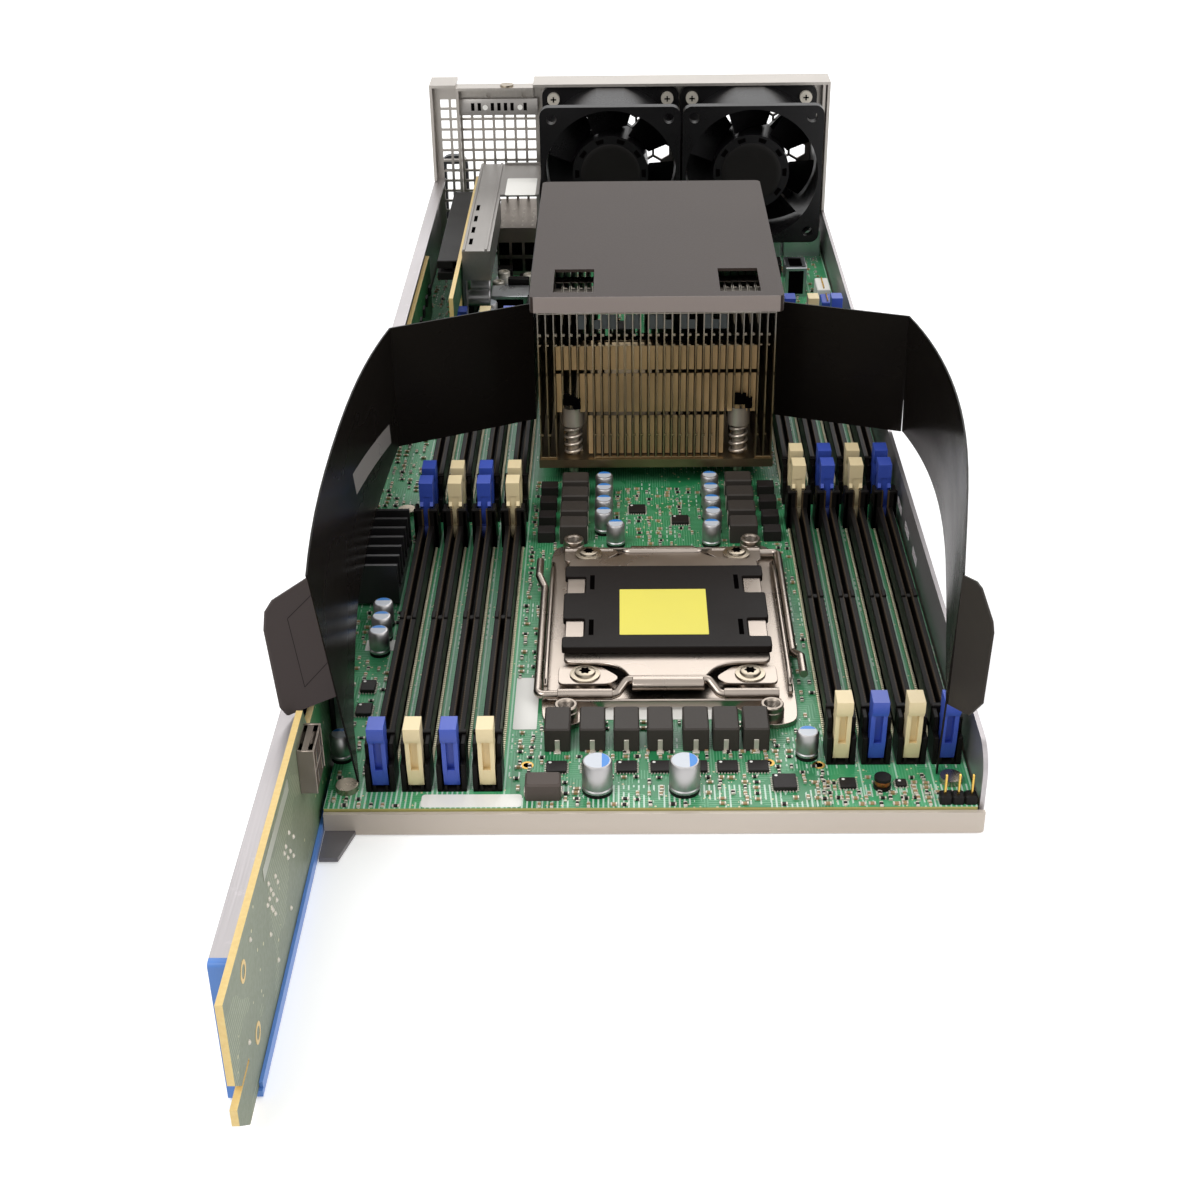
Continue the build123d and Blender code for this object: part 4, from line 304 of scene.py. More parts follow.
def card_finish():
    """Grey-green laminate faces with cream sawn edges."""
    finish = Finish("card_laminate", "8f9a83", 0.4)
    flat = abs(finish.facing()) > 0.5
    cloud, weave = finish.grain(35.0, 3.0), finish.grain(900.0, 2.0)
    shadow = finish.between(finish.axis("Y"), -0.225, -0.205)
    lines = finish.stripes("Z", 0.0013, 0.3) * (finish.grain(45.0, 1.0) > 0.55)
    dots = (finish.cells(300.0) < 0.13) * (finish.grain(60.0, 1.0) > 0.55)
    face = finish.layers(finish.mix(cloud, "606b54", "7b836b"), (shadow, "2f6d3f"), (lines * 0.35, "b5bd9b"),
                         (dots, "c9c29a"))
    tone = finish.mix(flat, finish.mix(weave, "dcbb74", "ecd291"), face)
    return finish.look(tone, weave * 0.2 + 0.34, weave, 0.00003)


def film_finish():
    """Glossy black film with faint smears and dust, a grey ear with fold lines, and a bare label on one face."""
    finish = Finish("flap_film", "181513", 0.3, glint=0.08)
    x, y, z = (finish.axis(letter) * 1000.0 for letter in "XYZ")
    ahead = (FRONT + 20.2) - y - (65.0 - z) * 0.16
    ear = (ahead > 0.3) * (z > 22.0)
    grey = ear * (x < 0.0)
    upright = (abs(ahead - 11.5) < 0.16) * (abs(z - 51.0) < 9.0)
    level = ((abs(z - 60.0) < 0.14) + (abs(z - 42.0) < 0.14)) * (ahead < 11.5)
    label = (finish.facing() > 0.3) * (x < 0.0) * (abs(y + 75.0) < 30.0) * (abs(z - 38.4 + (y + 75.0) * 0.193) < 3.4)
    smear = finish.grain(26.0, 4.0, finish.stretched(1, 0.4, 1.6))
    dust = finish.between(finish.grain(1500.0, 2.0), 0.70, 0.78)
    tone = finish.layers(
        finish.mix(dust * 0.5, "181513", "34312f"), (label, "8f8a87"), (ear, "393532"), (grey, "4a4342"),
        (grey * (upright + level), "2a2526"))
    return finish.look(tone, smear * 0.22 + ear * 0.25 + 0.16, smear, 0.0002)


def hood_finish():
    """Satin grey-brown plastic with a fine speckled grain, and a painted highlight on its front edge."""
    finish = Finish("hood_plastic", "504a49", 0.5, glint=0.14)
    speck, cloud = finish.grain(1500.0, 3.0), finish.grain(18.0, 2.0)
    # painted highlight: the hood's front edge face is made much lighter than the rest of the moulding
    front = finish.axis("Y") < (COOLER_FRONT + 0.35) * MM
    tone = finish.layers(finish.mix(speck * 0.6 + cloud * 0.4, "332b28", "463c37"), (front, "9f938e"))
    return finish.look(tone, speck * 0.14 + 0.38, speck, 0.00004)


STEEL = sheet_steel("zinc_sheet", "b9b4b5")
TRAY_STEEL = tray_finish()
SOCKET_BLACK = socket_finish()
PANEL_STEEL = sheet_steel("panel_sheet", "b8b2ab", 0.36, "Z")
BRIGHT = bright_metal("bright_nickel", "a79c92", 0.26, 0.10, 60.0)
SCREW = bright_metal("plated_screw", "a79c8b", 0.26, 0.12)
NICKEL = bright_metal("dull_nickel", "8c8278", 0.30, 0.12)
BRASS = bright_metal("brass", "b08d4a", 0.3)
FIN_METAL = fin_finish()
CAN = bright_metal("can_aluminium", "b3b1b1", 0.40, 0.1)
PORT = bright_metal("port_shell", "b9bcbe", 0.28, 0.1)
BLACK = moulded("black_moulding", "141211", 0.46, glint=0.15)
CHIP = moulded("chip_moulding", "231f1e", 0.5, 0.12, glint=0.2)
CHOKE = moulded("choke_ferrite", "3d3834", 0.5, 0.18, glint=0.2)
LARGE_CHOKE = moulded("large_choke", "524944", 0.5, 0.15, glint=0.2)
CAP_BLACK = moulded("cover_plastic", "16110f", 0.46, glint=0.12)
FAN_BLACK = moulded("fan_moulding", "131213", 0.3, glint=0.25)
BLUE = moulded("latch_blue", "3c55b8", 0.36, 0.08)
CREAM = moulded("latch_cream", "f0dcae", 0.38, 0.05)
GUIDE_BLUE = moulded("guide_blue", "5a8ad6", 0.36, 0.08)
BROWN = moulded("brown_housing", "4a3d31", 0.45, 0.2)
LEVER = moulded("lever_plastic", "3b3d42", 0.4)
DARK_METAL = moulded("anodised_black", "1a191a", 0.38)
PAPER = moulded("blank_label", "f1efe9", 0.6, 0.03)
# painted shade: a near-black colour laid on flat plates for the insides of holes, slots and recesses
RECESS_SHADE = moulded("painted_recess_shade", "050404", 0.85, glint=0.0)
COPPER = bright_metal("copper_wire", "a8643a", 0.3, 0.1)
YELLOW_PAPER = moulded("yellow_label", "ece05c", 0.55, 0.04)
DULL_PAPER = moulded("dull_label", "a9ab9c", 0.4, 0.15)
CAP_BLUE = moulded("capacitor_blue", "2f86d8", 0.35, 0.06)
CAP_TOP = moulded("capacitor_print", "cdd2da", 0.38, 0.05)
TAN = moulded("chip_ceramic", "9c8158", 0.5, 0.2)
PIN_CREAM = bright_metal("tinned_tail", "d8d0b4", 0.35, 0.12)
GOLD = bright_metal("gold_pin", "d9b35c", 0.25, 0.12)
TIN = moulded("tinned_leg", "cfc8bb", 0.34, 0.12, metal=0.35)
SPRING = moulded("spring_steel", "b8ada0", 0.3, 0.15, metal=0.6)
BRACKET = sheet_steel("bracket_sheet", "97938f")
FIN_SIDE = moulded("fin_side", "c8a97c", 0.42, 0.5, metal=0.3)
# painted light: a near-white colour for the fin crests in the hood's windows, which lie in shade
CREST_LIGHT = moulded("fin_crest_light", "efe6d6", 0.4, 0.1)
# painted light: a bluish-grey sheen colour for the top of the fin stack
FIN_SHEEN = moulded("fin_sheen", "5c6468", 0.4, 0.4, metal=0.3)
BOARD_GREEN = board_finish()
CARD = card_finish()
FILM = film_finish()
HOOD_GREY = hood_finish()

DRESS = (
    (TRAY_STEEL, "base_tray"), (STEEL, "left_rail"), (GUIDE_BLUE, "card_guide"), (CARD, "adapter_card riser_card"),
    (PANEL_STEEL, "rear_panel card_clamp"), (BOARD_GREEN, "motherboard"), (BRASS, "standoffs"),
    (BLACK, "memory_sockets_front memory_sockets_rear cpu_sockets card_connectors"),
    (BRIGHT, "front_retention_frame load_plate rear_cpu_package load_lever_left load_lever_right"),
    (SCREW, "board_screws heatsink_studs frame_screws"), (SPRING, "heatsink_screws heatsink_springs"),
    (FIN_METAL, "heatsink_base heatsink_fins"), (CAP_BLACK, "socket_cap"), (HOOD_GREY, "heatsink_hood"),
    (FILM, "left_air_flap right_air_flap"), (TIN, "fan_screws"), (BRACKET, "riser_bracket"),
    (FAN_BLACK, "left_fan_frame right_fan_frame left_fan_rotor right_fan_rotor"), (PORT, "rear_ports"),
    (DARK_METAL, "chipset_heatsink"), (CAN, "capacitors"), (CHIP, "board_chips"), (LEVER, "release_lever"),
)


def dress_nodes():
    """Each solid's own mesh takes its finish; the latches are in no row and are blue."""
    finish_of = {name: finish for finish, names in DRESS for name in names.split()}
    for name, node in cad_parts.items():
        node.data.materials.clear()
        node.data.materials.append(finish_of.get(name, BLUE).material)


# Surfaces

def grid(points):
    """Quads of point grids shaped (copies, rows, columns, 3), each row closed on itself."""
    copies, rows, columns = points.shape[:3]
    index = np.arange(rows * columns).reshape(rows, columns)
    right = np.roll(index, -1, 1)
    quads = np.stack([index[:-1], right[:-1], right[1:], index[1:]], -1).reshape(-1, 4)
    shift = (np.arange(copies) * rows * columns)[:, None, None]
    return points.reshape(-1, 3), (quads[None] + shift).reshape(-1, 4)


def place_object(name, data, finish=None):
    """A new object in the scene, dressed where a finish is given."""
    made = bpy.data.objects.new(name, data)
    bpy.context.scene.collection.objects.link(made)
    if finish:
        data.materials.append(finish.material)
    return made


def piece(name, shapes, finish, body="sled", smooth=True, bevel=0.0, hides=None, slot=None, weld=False):
    """One object from a list of (points, faces) in millimetres, with its faces turned outwards."""
    total, faces, corners = 0, [], []
    for points, quads in shapes:
        corners.append(points)
        faces += [[int(index) + total for index in face] for face in quads]
        total += len(points)
    mesh = bpy.data.meshes.new(name)
    mesh.from_pydata((np.concatenate(corners) * MM).tolist(), [], faces)
    shape = bmesh.new()
    shape.from_mesh(mesh)
    if weld:
        bmesh.ops.remove_doubles(shape, verts=shape.verts, dist=1e-6)
    bmesh.ops.dissolve_degenerate(shape, edges=shape.edges, dist=1e-7)
    bmesh.ops.recalc_face_normals(shape, faces=shape.faces)
    shape.to_mesh(mesh)
    shape.free()
    mesh.polygons.foreach_set("use_smooth", np.full(len(mesh.polygons), smooth))
    if smooth:
        mesh.set_sharp_from_angle(angle=math.radians(35))
    made = place_object(name, mesh, finish)
    if bevel:
        edge = made.modifiers.new("edge", "BEVEL")
        edge.width, edge.segments, edge.limit_method = bevel * MM, 2, "ANGLE"
    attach(made, body)
    if hides:
        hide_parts(hides)


def ring(count):
    """Points of a unit circle."""
    angle = (np.arange(count) + 0.5) / count * TURN
    return np.stack([np.cos(angle), np.sin(angle)], -1)


def blocks(places, edge):
    """Eased boxes (x, y, z0, width, depth, height): a chamfered plan carried up through inset rows."""
    table = np.array(places, float)
    corner = np.array([[-1, -1], [1, -1], [1, 1], [-1, 1]], float)
    along = np.array([[1, 0], [0, 1], [1, 0], [0, 1]])
    half = table[:, None, 3:5] / 2
    cut = np.minimum(edge, half.min(-1, keepdims=True) * 0.4)
    first, second = corner * half - corner * cut * along, corner * half - corner * cut * (1 - along)
    plan = np.stack([second, first], 2).reshape(len(table), 8, 2)
    tall = table[:, 5]
    high = np.minimum(edge, tall * 0.4)
    rows = ((plan * 0, 0 * tall), (plan, 0 * tall), (plan, tall - high), (plan * (1 - cut / half), tall),
            (plan * 0, tall))
    points = np.empty((len(table), len(rows), 8, 3))
    for row, (shape, rise) in enumerate(rows):
        points[:, row, :, :2] = shape + table[:, None, :2]
        points[:, row, :, 2] = (table[:, 2] + rise)[:, None]
    return grid(points)


def boxes(name, places, edge, finish, **more):
    """One object of eased boxes."""
    piece(name, [blocks(places, edge)], finish, **more)


def rounds(name, places, profile, finish, columns=20, **more):
    """One object of round parts."""
    piece(name, [turned(places, profile, columns)], finish, **more)


def turned(places, profile, columns=20):
    """Round parts at (x, y, z): a profile of (radius, height) turned about the upright."""
    spots = np.array(places, float)
    line = np.array(profile, float)
    points = np.empty((len(spots), len(line), columns, 3))
    points[..., :2] = line[None, :, None, :1] * ring(columns) + spots[:, None, None, :2]
    points[..., 2] = (line[None, :, 1] + spots[:, None, 2])[..., None]
    return grid(points)


def puck(radius, low, high):
    """Profile of a plain round plate."""
    return (0, low), (radius, low), (radius, high), (0, high)


def on_board(rows):
    """Places (x, y, and sizes if any) stood on the board's face."""
    return [(*row[:2], BOARD, *row[2:]) for row in rows]


def tube(path, radius, sides):
    """Round tube: a circle carried square to a path, its frame taken from one fixed side direction."""
    line = np.array(path, float)
    ahead = np.gradient(line, axis=0)
    ahead /= np.linalg.norm(ahead, axis=1, keepdims=True)
    spread = ahead.max(0) - ahead.min(0)
    up = np.eye(3)[int(np.argmin(np.abs(ahead).max(0) + spread * 0.01))]
    one = np.cross(ahead, up)
    one /= np.linalg.norm(one, axis=1, keepdims=True)
    two = np.cross(ahead, one)
    around = ring(sides) * radius
    body = line[:, None] + around[None, :, :1] * one[:, None] + around[None, :, 1:] * two[:, None]
    return grid(np.concatenate([np.repeat(line[:1, None], sides, 1), body, np.repeat(line[-1:, None], sides, 1)])[None])


def drawn(outline, low, high, axis=0):
    """A closed convex or star-shaped outline of two coordinates carried between two ends of an axis."""
    flat = np.array(outline, float)
    middle = np.broadcast_to(flat.mean(0), flat.shape)
    points = np.empty((1, 4, len(flat), 3))
    for row, (shape, level) in enumerate(((middle, low), (flat, low), (flat, high), (middle, high))):
        points[0, row][:, [i for i in range(3) if i != axis]] = shape
        points[0, row, :, axis] = level
    return grid(points)


def cutout(outline, low, high):
    """A flat outline, notched or not, carried between two levels and closed by one face at each."""
    count = len(outline)
    points = np.empty((2, count, 3))
    points[..., :2] = outline
    points[0, :, 2], points[1, :, 2] = low, high
    sides = [[a, b, b + count, a + count] for a, b in ((i, (i + 1) % count) for i in range(count))]
    return points.reshape(-1, 3), sides + [list(range(count))[::-1], list(range(count, 2 * count))]


def soften(outline, radius):
    """An outline with each corner cut back by a quadratic curve between points a radius away on its two sides."""
    flat = np.array(outline, float)
    before, after = np.roll(flat, 1, 0) - flat, np.roll(flat, -1, 0) - flat
    near, far = (np.linalg.norm(side, axis=1, keepdims=True) for side in (before, after))
    start = flat + before / near * np.minimum(radius, near * 0.45)
    end = flat + after / far * np.minimum(radius, far * 0.45)
    t = np.linspace(0, 1, 4)[None, :, None]
    return ((1 - t) ** 2 * start[:, None] + 2 * t * (1 - t) * flat[:, None] + t ** 2 * end[:, None]).reshape(-1, 2)


def columns_of(bank):
    """Places across the board of a bank's four sockets."""
    return [BANKS[bank][0] + (index - 1.5) * SOCKET_PITCH for index in range(4)]


# Memory latches

def latch_parts(x, pivot, side):
    """One latch: cheeks beside a sunk web, a wide finger block above and a narrow foot below."""
    def across(points, x0, x1):
        shape = [(pivot + side * reach, PIVOT_Z + rise) for reach, rise in points]
        return drawn(shape, x + x0, x + x1)
    cheek = ((-0.7, -1.6), (-0.6, 8.6), (-1.6, 9.6), (-0.7, 10.8), (-0.8, 13.2), (3.8, 13.2), (3.4, 4), (2.2, -1.6))
    web = ((-0.7, 1.2), (-0.6, 12.5), (1.9, 12.5), (1.5, 1.2))
    foot = ((-1.2, -1.9), (-1.2, 2.6), (3.1, 3.3), (2.3, -1.9))
    block = ((-0.85, 12.6), (-0.85, 17.4), (5.25, 17.4), (5.25, 14.3), (4.3, 12.6))
    heel = [(pivot + y, PIVOT_Z + z) for y, z in ring(20) * 2.6]
    return [across(cheek, -2.1, -1), across(cheek, 1, 2.1), across(web, -1, 1),
            across(foot, -2.1, 2.1), across(block, -2.15, 2.15), drawn(heel, x - 1.5, x + 1.5)]


def make_latches():
    """Blue and cream latches, one piece for each latch node, two for each joined row."""
    tones = {"latch_blue": BLUE, "latch_cream": CREAM}
    for bank, (_, bank_y) in BANKS.items():
        slots = list(tones) * 2 if bank.endswith("left") else list(tones)[::-1] * 2
        for end, side in (("front", -1), ("rear", 1)):
            pivot = bank_y + side * LATCH_REACH
            places = list(zip(slots, columns_of(bank)))
            if bank.startswith("front"):
                rows = [(f"latch_{bank}_{number}_{end}", "shape", slot, [x])
                        for number, (slot, x) in enumerate(places, 1)]
            else:
                rows = [(f"latches_{bank}_{end}", slot, slot, [x for own, x in places if own == slot])
                        for slot in tones]
            for node, ending, slot, xs in rows:
                shapes = [shape for x in xs for shape in latch_parts(x, pivot, side)]
                piece(f"{node}_{ending}", shapes, tones[slot], node, bevel=0.2, hides=node, slot=slot)


# Board furniture

FRONT_ZONE = CPU[1] - FRONT
MIDDLE_START = CPU[1] + 51.6
MIDDLE_ZONE = COOLER_FRONT - MIDDLE_START
REAR_START = FRONT + 307.5
REAR_ZONE = REAR - REAR_START
CHOKE_XS = [share * SIDE for share in (-0.242, -0.136, -0.033, 0.069, 0.177, 0.268, 0.359)]
CHOKE_Y = FRONT + 31.5
CHOKE_SIZE = (6.9, 11.2, 7.1)
STAGE_XS = [share * SIDE for share in (-0.322, 0.505)]
STAGE_SIZE = (5.6, 5, 3.8)
REAR_CHOKE_XS = [share * SIDE for share in (-0.222, 0.399)]
REAR_CHOKE_YS = [MIDDLE_START + 5.6 + 10.6 * row for row in range(4)]
DRIVER_Y = FRONT + 18.4


def spread(shares, start, length):
    """Board places from shares of half the width and of a zone's length, each with its sizes if it has any."""
    return [(across * SIDE, start + along * length, *sizes) for across, along, *sizes in shares]


LARGE_CANS = spread(((-0.119, 0.1016), (0.136, 0.1016)), FRONT, FRONT_ZONE)
SMALL_CANS = (
    spread(((0.509, 0.2725), (-0.850, 1.050), (-0.846, 0.961), (-0.845, 0.870), (-0.890, 0.270)), FRONT, FRONT_ZONE)
    + [(share * SIDE, MIDDLE_START + 1.7) for share in (-0.068, 0.280)]
    + [(share * SIDE, MIDDLE_START + 1.7 + 8.6 * row) for row in range(1, 5) for share in (-0.112, 0.289)]
    + spread(((-0.545, 0.110), (-0.475, 0.110), (0.930, 0.086), (0.720, 0.144), (-0.270, 0.189)), REAR_START,
             REAR_ZONE)
)
CHIPS = (
    spread(((0.431, 0.1263, 7, 7, 1.4), (-0.858, 0.654, 5, 6.2, 1.3), (-0.855, 0.520, 5.2, 6.2, 1.3),
            (0.616, 0.1238, 5, 5, 1), (0.772, 0.1238, 3.6, 3.6, 1)), FRONT, FRONT_ZONE)
    + spread(((0.012, 0.580, 6.4, 6, 1.2), (0.172, 0.400, 6.4, 6, 1.2)), MIDDLE_START, MIDDLE_ZONE)
    + spread(((-0.300, 0.450, 20, 20, 2), (0.150, 0.276, 14, 14, 1.6), (0.480, 0.379, 10, 14, 1.2),
              (-0.640, -0.040, 9, 7, 1.2), (0.680, 0.310, 9, 6, 1.4), (0.050, 0.551, 12, 8, 1.2)),
             REAR_START, REAR_ZONE)
    + [(x, DRIVER_Y, 6.3, 5.6, 1) for x in CHOKE_XS]
)
BIG_CHOKES = spread(((-0.277, 0.0842, 9.2, 6.2, 5),), FRONT, FRONT_ZONE)
DRUM = spread(((0.715, 0.1115),), FRONT, FRONT_ZONE)[0]


def rounded(x0, x1, y0, y1, radius):
    """Outline of a rectangle with quarter-circle corners."""
    quarter = np.linspace(0, TURN / 4, 5)
    centres = ((x1 - radius, y1 - radius), (x0 + radius, y1 - radius), (x0 + radius, y0 + radius),
               (x1 - radius, y0 + radius))
    return np.concatenate([np.stack([cx + radius * np.cos(quarter + k * TURN / 4),
                                     cy + radius * np.sin(quarter + k * TURN / 4)], -1)
                           for k, (cx, cy) in enumerate(centres)])


def sticker(x0, x1, y0, y1, z, radius, thick=0.12):
    """Thin plate with rounded corners lying at height z."""
    return drawn(rounded(x0, x1, y0, y1, radius), z, z + thick, 2)


def make_capacitors():
    """Cans with a rolled neck and bevelled rim, black bases, and a coloured segment printed on the tops."""
    cans, bases, tops, marks = [], [], [], []
    for places, radius, height in ((LARGE_CANS, 4, 9.5), (SMALL_CANS, 3, 8)):
        spots = on_board(places)
        neck, face = radius - 0.22, radius - 0.72
        can = ((0, 0.9), (radius - 0.1, 0.9), (radius, 1.1), (radius, 1.7), (neck, 2), (neck, 2.3),
               (radius - 0.02, 2.7), (radius - 0.02, height - 0.7), (radius - 0.4, height - 0.15),
               (radius - 0.7, height - 0.04), (0, height - 0.04))
        cans.append(turned(spots, can, 28))
        bases.append(turned(spots, puck(radius, 0, 1.1)))
        tops.append(turned(spots, puck(face, height - 0.06, height - 0.02), 28))
        angle = np.radians(np.linspace(-68, 68, 16))
        segment = np.stack([np.cos(angle), np.sin(angle)], -1) * face
        if places is SMALL_CANS:
            segment = segment[:, ::-1]
        marks += [drawn(segment + place, BOARD + height - 0.05, BOARD + height, 2) for place in places]
    piece("capacitor_cans", cans, CAN, hides="capacitors", slot="can_metal")
    piece("capacitor_bases", bases, BLACK)
    piece("capacitor_tops", tops, CAP_TOP)
    piece("capacitor_marks", marks, CAP_BLUE)


def pin_row(x, y, z, count, pitch, size, along):
    """Small tails in a row centred at a place: equal steps along one axis."""
    steps = (np.arange(count) - (count - 1) / 2) * pitch
    table = np.tile(np.array([x, y, z, *size], float), (count, 1))
    table[:, along] += steps
    return table


def make_inductors_and_chips():
    """Ferrite blocks with a bent leg, power stages and flat packages with rows of legs."""
    rear = [(x, y) for x in REAR_CHOKE_XS for y in REAR_CHOKE_YS]
    ferrite = [(x, CHOKE_Y, BOARD + 0.15, *CHOKE_SIZE) for x in CHOKE_XS]
    ferrite += [(x, y, BOARD + 0.15, 8.84, 7.2, 6.6) for x, y in rear]
    legs = [(x, CHOKE_Y - 5.6, BOARD, 1.3, 0.5, 3.9) for x in CHOKE_XS]
    legs += [(x, CHOKE_Y - 6.1, BOARD, 1.9, 1.3, 0.4) for x in CHOKE_XS]
    for sign in (-1, 1):
        legs += [(x + sign * 4.3, y, BOARD, 0.6, 2.2, 4.2) for x, y in rear]
        legs += [(x + sign * w / 2, y, BOARD, 0.7, d * 0.4, 1.6) for x, y, w, d, h in BIG_CHOKES]
    boxes("large_inductor", on_board(BIG_CHOKES), 0.5, LARGE_CHOKE)
    boxes("inductors", ferrite, 0.4, CHOKE, hides="board_chips", slot="chip_plastic", smooth=False)
    boxes("inductor_legs", legs, 0.1, TIN)
    bodies = [(x, y, BOARD + 0.12, w - 0.9, d - 0.9, h - 0.12) for x, y, w, d, h in CHIPS]
    bodies += [(x, y, BOARD, *STAGE_SIZE) for x in STAGE_XS for y in REAR_CHOKE_YS]
    boxes("packages", bodies, 0.14, CHIP, slot="chip_plastic")
    tails = []
    for x, y, w, d, h in CHIPS:
        for sign in (-1, 1):
            tails.append(pin_row(x, y + sign * (d / 2 - 0.3), BOARD, int(w / 0.8), 0.8, (0.32, 0.7, 0.3), 0))
            tails.append(pin_row(x + sign * (w / 2 - 0.3), y, BOARD, int(d / 0.8), 0.8, (0.7, 0.32, 0.3), 1))
    boxes("package_legs", np.concatenate(tails), 0.05, TIN)
    spots = [(x - w / 2 + 1.4, y + d / 2 - 1.4, BOARD + h - 0.02) for x, y, w, d, h in CHIPS]
    rounds("package_dots", spots, puck(0.42, 0, 0.05), PAPER, 12)
    ends = ((0, 0), (2.3, 0), (2.3, 1), (1.4, 1.1), (1.4, 2.5), (2.2, 2.6), (2.2, 3.4), (0, 3.4))
    winding = ((1.3, 1.05), (2, 1.15), (2.1, 1.8), (2, 2.45), (1.3, 2.55))
    rounds("drum_ends", on_board([DRUM]), ends, BLACK)
    rounds("drum_winding", on_board([DRUM]), winding, COPPER)
    x, y = 0.925 * SIDE, FRONT + 3.6
    boxes("header_body", [(x + k * 3.2, y, BOARD, 3.1, 3.2, 2.6) for k in (-1, 0, 1)], 0.4, BLACK)
    boxes("header_pins", pin_row(x, y, BOARD, 3, 3.4, (0.64, 0.64, 8.4), 0), 0.12, GOLD)


SOCKET_ROWS = [(x, BANKS[bank][1]) for bank in BANKS for x in columns_of(bank)]
CORNERS = [(i, j) for i in (-1, 1) for j in (-1, 1)]
STUDS = [(CPU[0] + i * 28, CPU[1] + j * 47) for i, j in CORNERS]
BOSSES = [(CPU[0] + i * 23.1, CPU[1] + 4.3 + j * 34.7) for i, j in CORNERS]
BOARD_SCREWS = ((-0.855, 0.022), (0.920, 0.0285), (-0.857, 0.377), (-0.852, 0.561), (-0.180, 0.735), (0.511, 0.735))


def around(places, wide, deep):
    """Boxes (x0, x1, y0, y1) that reach the same way to both sides of places."""
    return [(x - wide, x + wide, y - deep, y + deep) for x, y in places]


KEEP_OUT = np.array(
    [(x - 4.4, x + 5.4, y - 75.5, y + 75.5) for x, y in SOCKET_ROWS]
    + around([CPU], 36, 46) + around(STUDS, 6, 6) + around(LARGE_CANS, 5, 5) + around(SMALL_CANS, 3.8, 3.8)
    + [(COOLER[0] - 39, COOLER[0] + 39, COOLER_FRONT - 1, COOLER_FRONT + 108)]
    + [(x - w / 2 - 0.8, x + w / 2 + 0.8, y - d / 2 - 0.8, y + d / 2 + 0.8) for x, y, w, d, h in CHIPS + BIG_CHOKES]
    + [(x - 4.2, x + 4.2, CHOKE_Y - 5, CHOKE_Y + 4.2) for x in CHOKE_XS]
    + [(x - 5.4, x + 5.4, REAR_CHOKE_YS[0] - 4.4, REAR_CHOKE_YS[-1] + 4.4) for x in REAR_CHOKE_XS]
    + [(x - 3.4, x + 3.4, REAR_CHOKE_YS[0] - 4, REAR_CHOKE_YS[-1] + 4) for x in STAGE_XS]
    + [(-87, -70, -116, -76), (-85, -79, -190, -170), (-72, -64, 88, 212), (-88, -82, 30, 130), (-66, -36, 92, 212),
       (76, 87, -216, -210), (-57, -29, -216, -209), (-35, -26, -181, -154), (-10, 24, -176, -168),
       (-88, 88, 192, 216), (-86, -79, -217, -180)]
    + around(spread(BOARD_SCREWS, FRONT, LENGTH), 4.5, 4.5)
)


def scatter(box, step_x, step_y, chance, seed):
    """Jittered grid places inside a box, some left out, and none where a larger part stands."""
    rng = np.random.default_rng(seed)
    x, y = np.meshgrid(np.arange(box[0], box[1], step_x), np.arange(box[2], box[3], step_y))
    spots = np.stack([x.ravel(), y.ravel()], -1)
    spots = spots[rng.random(len(spots)) < chance]
    spots += (rng.random(spots.shape) - 0.5) * (step_x * 0.25, step_y * 0.25)
    px, py = spots[:, None, 0], spots[:, None, 1]
    hit = (px > KEEP_OUT[:, 0]) & (px < KEEP_OUT[:, 1]) & (py > KEEP_OUT[:, 2]) & (py < KEEP_OUT[:, 3])
    return spots[~hit.any(1)], rng


def make_small_parts():
    """Resistors and capacitors of a millimetre or two, each a body with two tinned ends, in loose rows."""
    zones = (((-84, 84, -214, -180), 3.1, 2.3, 0.62, 3), ((-36, 45, -180, -30), 3.4, 2.6, 0.62, 5),
             ((48, 84, -214, -190), 2.9, 2.2, 0.7, 7), ((-86, -70, -180, 90), 3, 2.8, 0.6, 9),
             ((-84, 84, 86, 190), 3.6, 3, 0.5, 11), ((46, 50, -180, 90), 3, 2.8, 0.6, 13))
    dark, tan, ends = [], [], []
    for box, step_x, step_y, chance, seed in zones:
        spots, rng = scatter(box, step_x, step_y, chance, seed)
        count = len(spots)
        flat = rng.random(count) < 0.5
        long, wide = 1.5 + rng.random(count) * 0.5, 0.75 + rng.random(count) * 0.2
        high = 0.45 + rng.random(count) * 0.3
        body = np.stack([spots[:, 0], spots[:, 1], np.full(count, BOARD), np.where(flat, long * 0.6, wide),
                         np.where(flat, wide, long * 0.6), high], -1)
        brown = rng.random(count) < 0.55
        tan.append(body[brown])
        dark.append(body[~brown])
        for sign in (-1, 1):
            end = body.copy()
            end[:, 0] += np.where(flat, sign * long * 0.38, 0)
            end[:, 1] += np.where(flat, 0, sign * long * 0.38)
            end[:, 3] = np.where(flat, long * 0.24, wide * 1.06)
            end[:, 4] = np.where(flat, wide * 1.06, long * 0.24)
            end[:, 5] *= 1.05
            ends.append(end)
    boxes("small_capacitors", np.concatenate(tan), 0.08, TAN)
    boxes("small_resistors", np.concatenate(dark), 0.08, CHIP)
    boxes("small_part_ends", np.concatenate(ends), 0.06, TIN)


def make_socket_tails():
    """The comb of tinned tails beside each memory socket."""
    rows = [pin_row(x + (2.95 if x < 0 else -2.95), y, BOARD, 127, 0.95, (0.9, 0.5, 0.8), 1) for x, y in SOCKET_ROWS]
    for number, part in enumerate((rows[:8], rows[8:])):
        boxes(f"socket_tails_{number + 1}", np.concatenate(part), 0.08, PIN_CREAM)


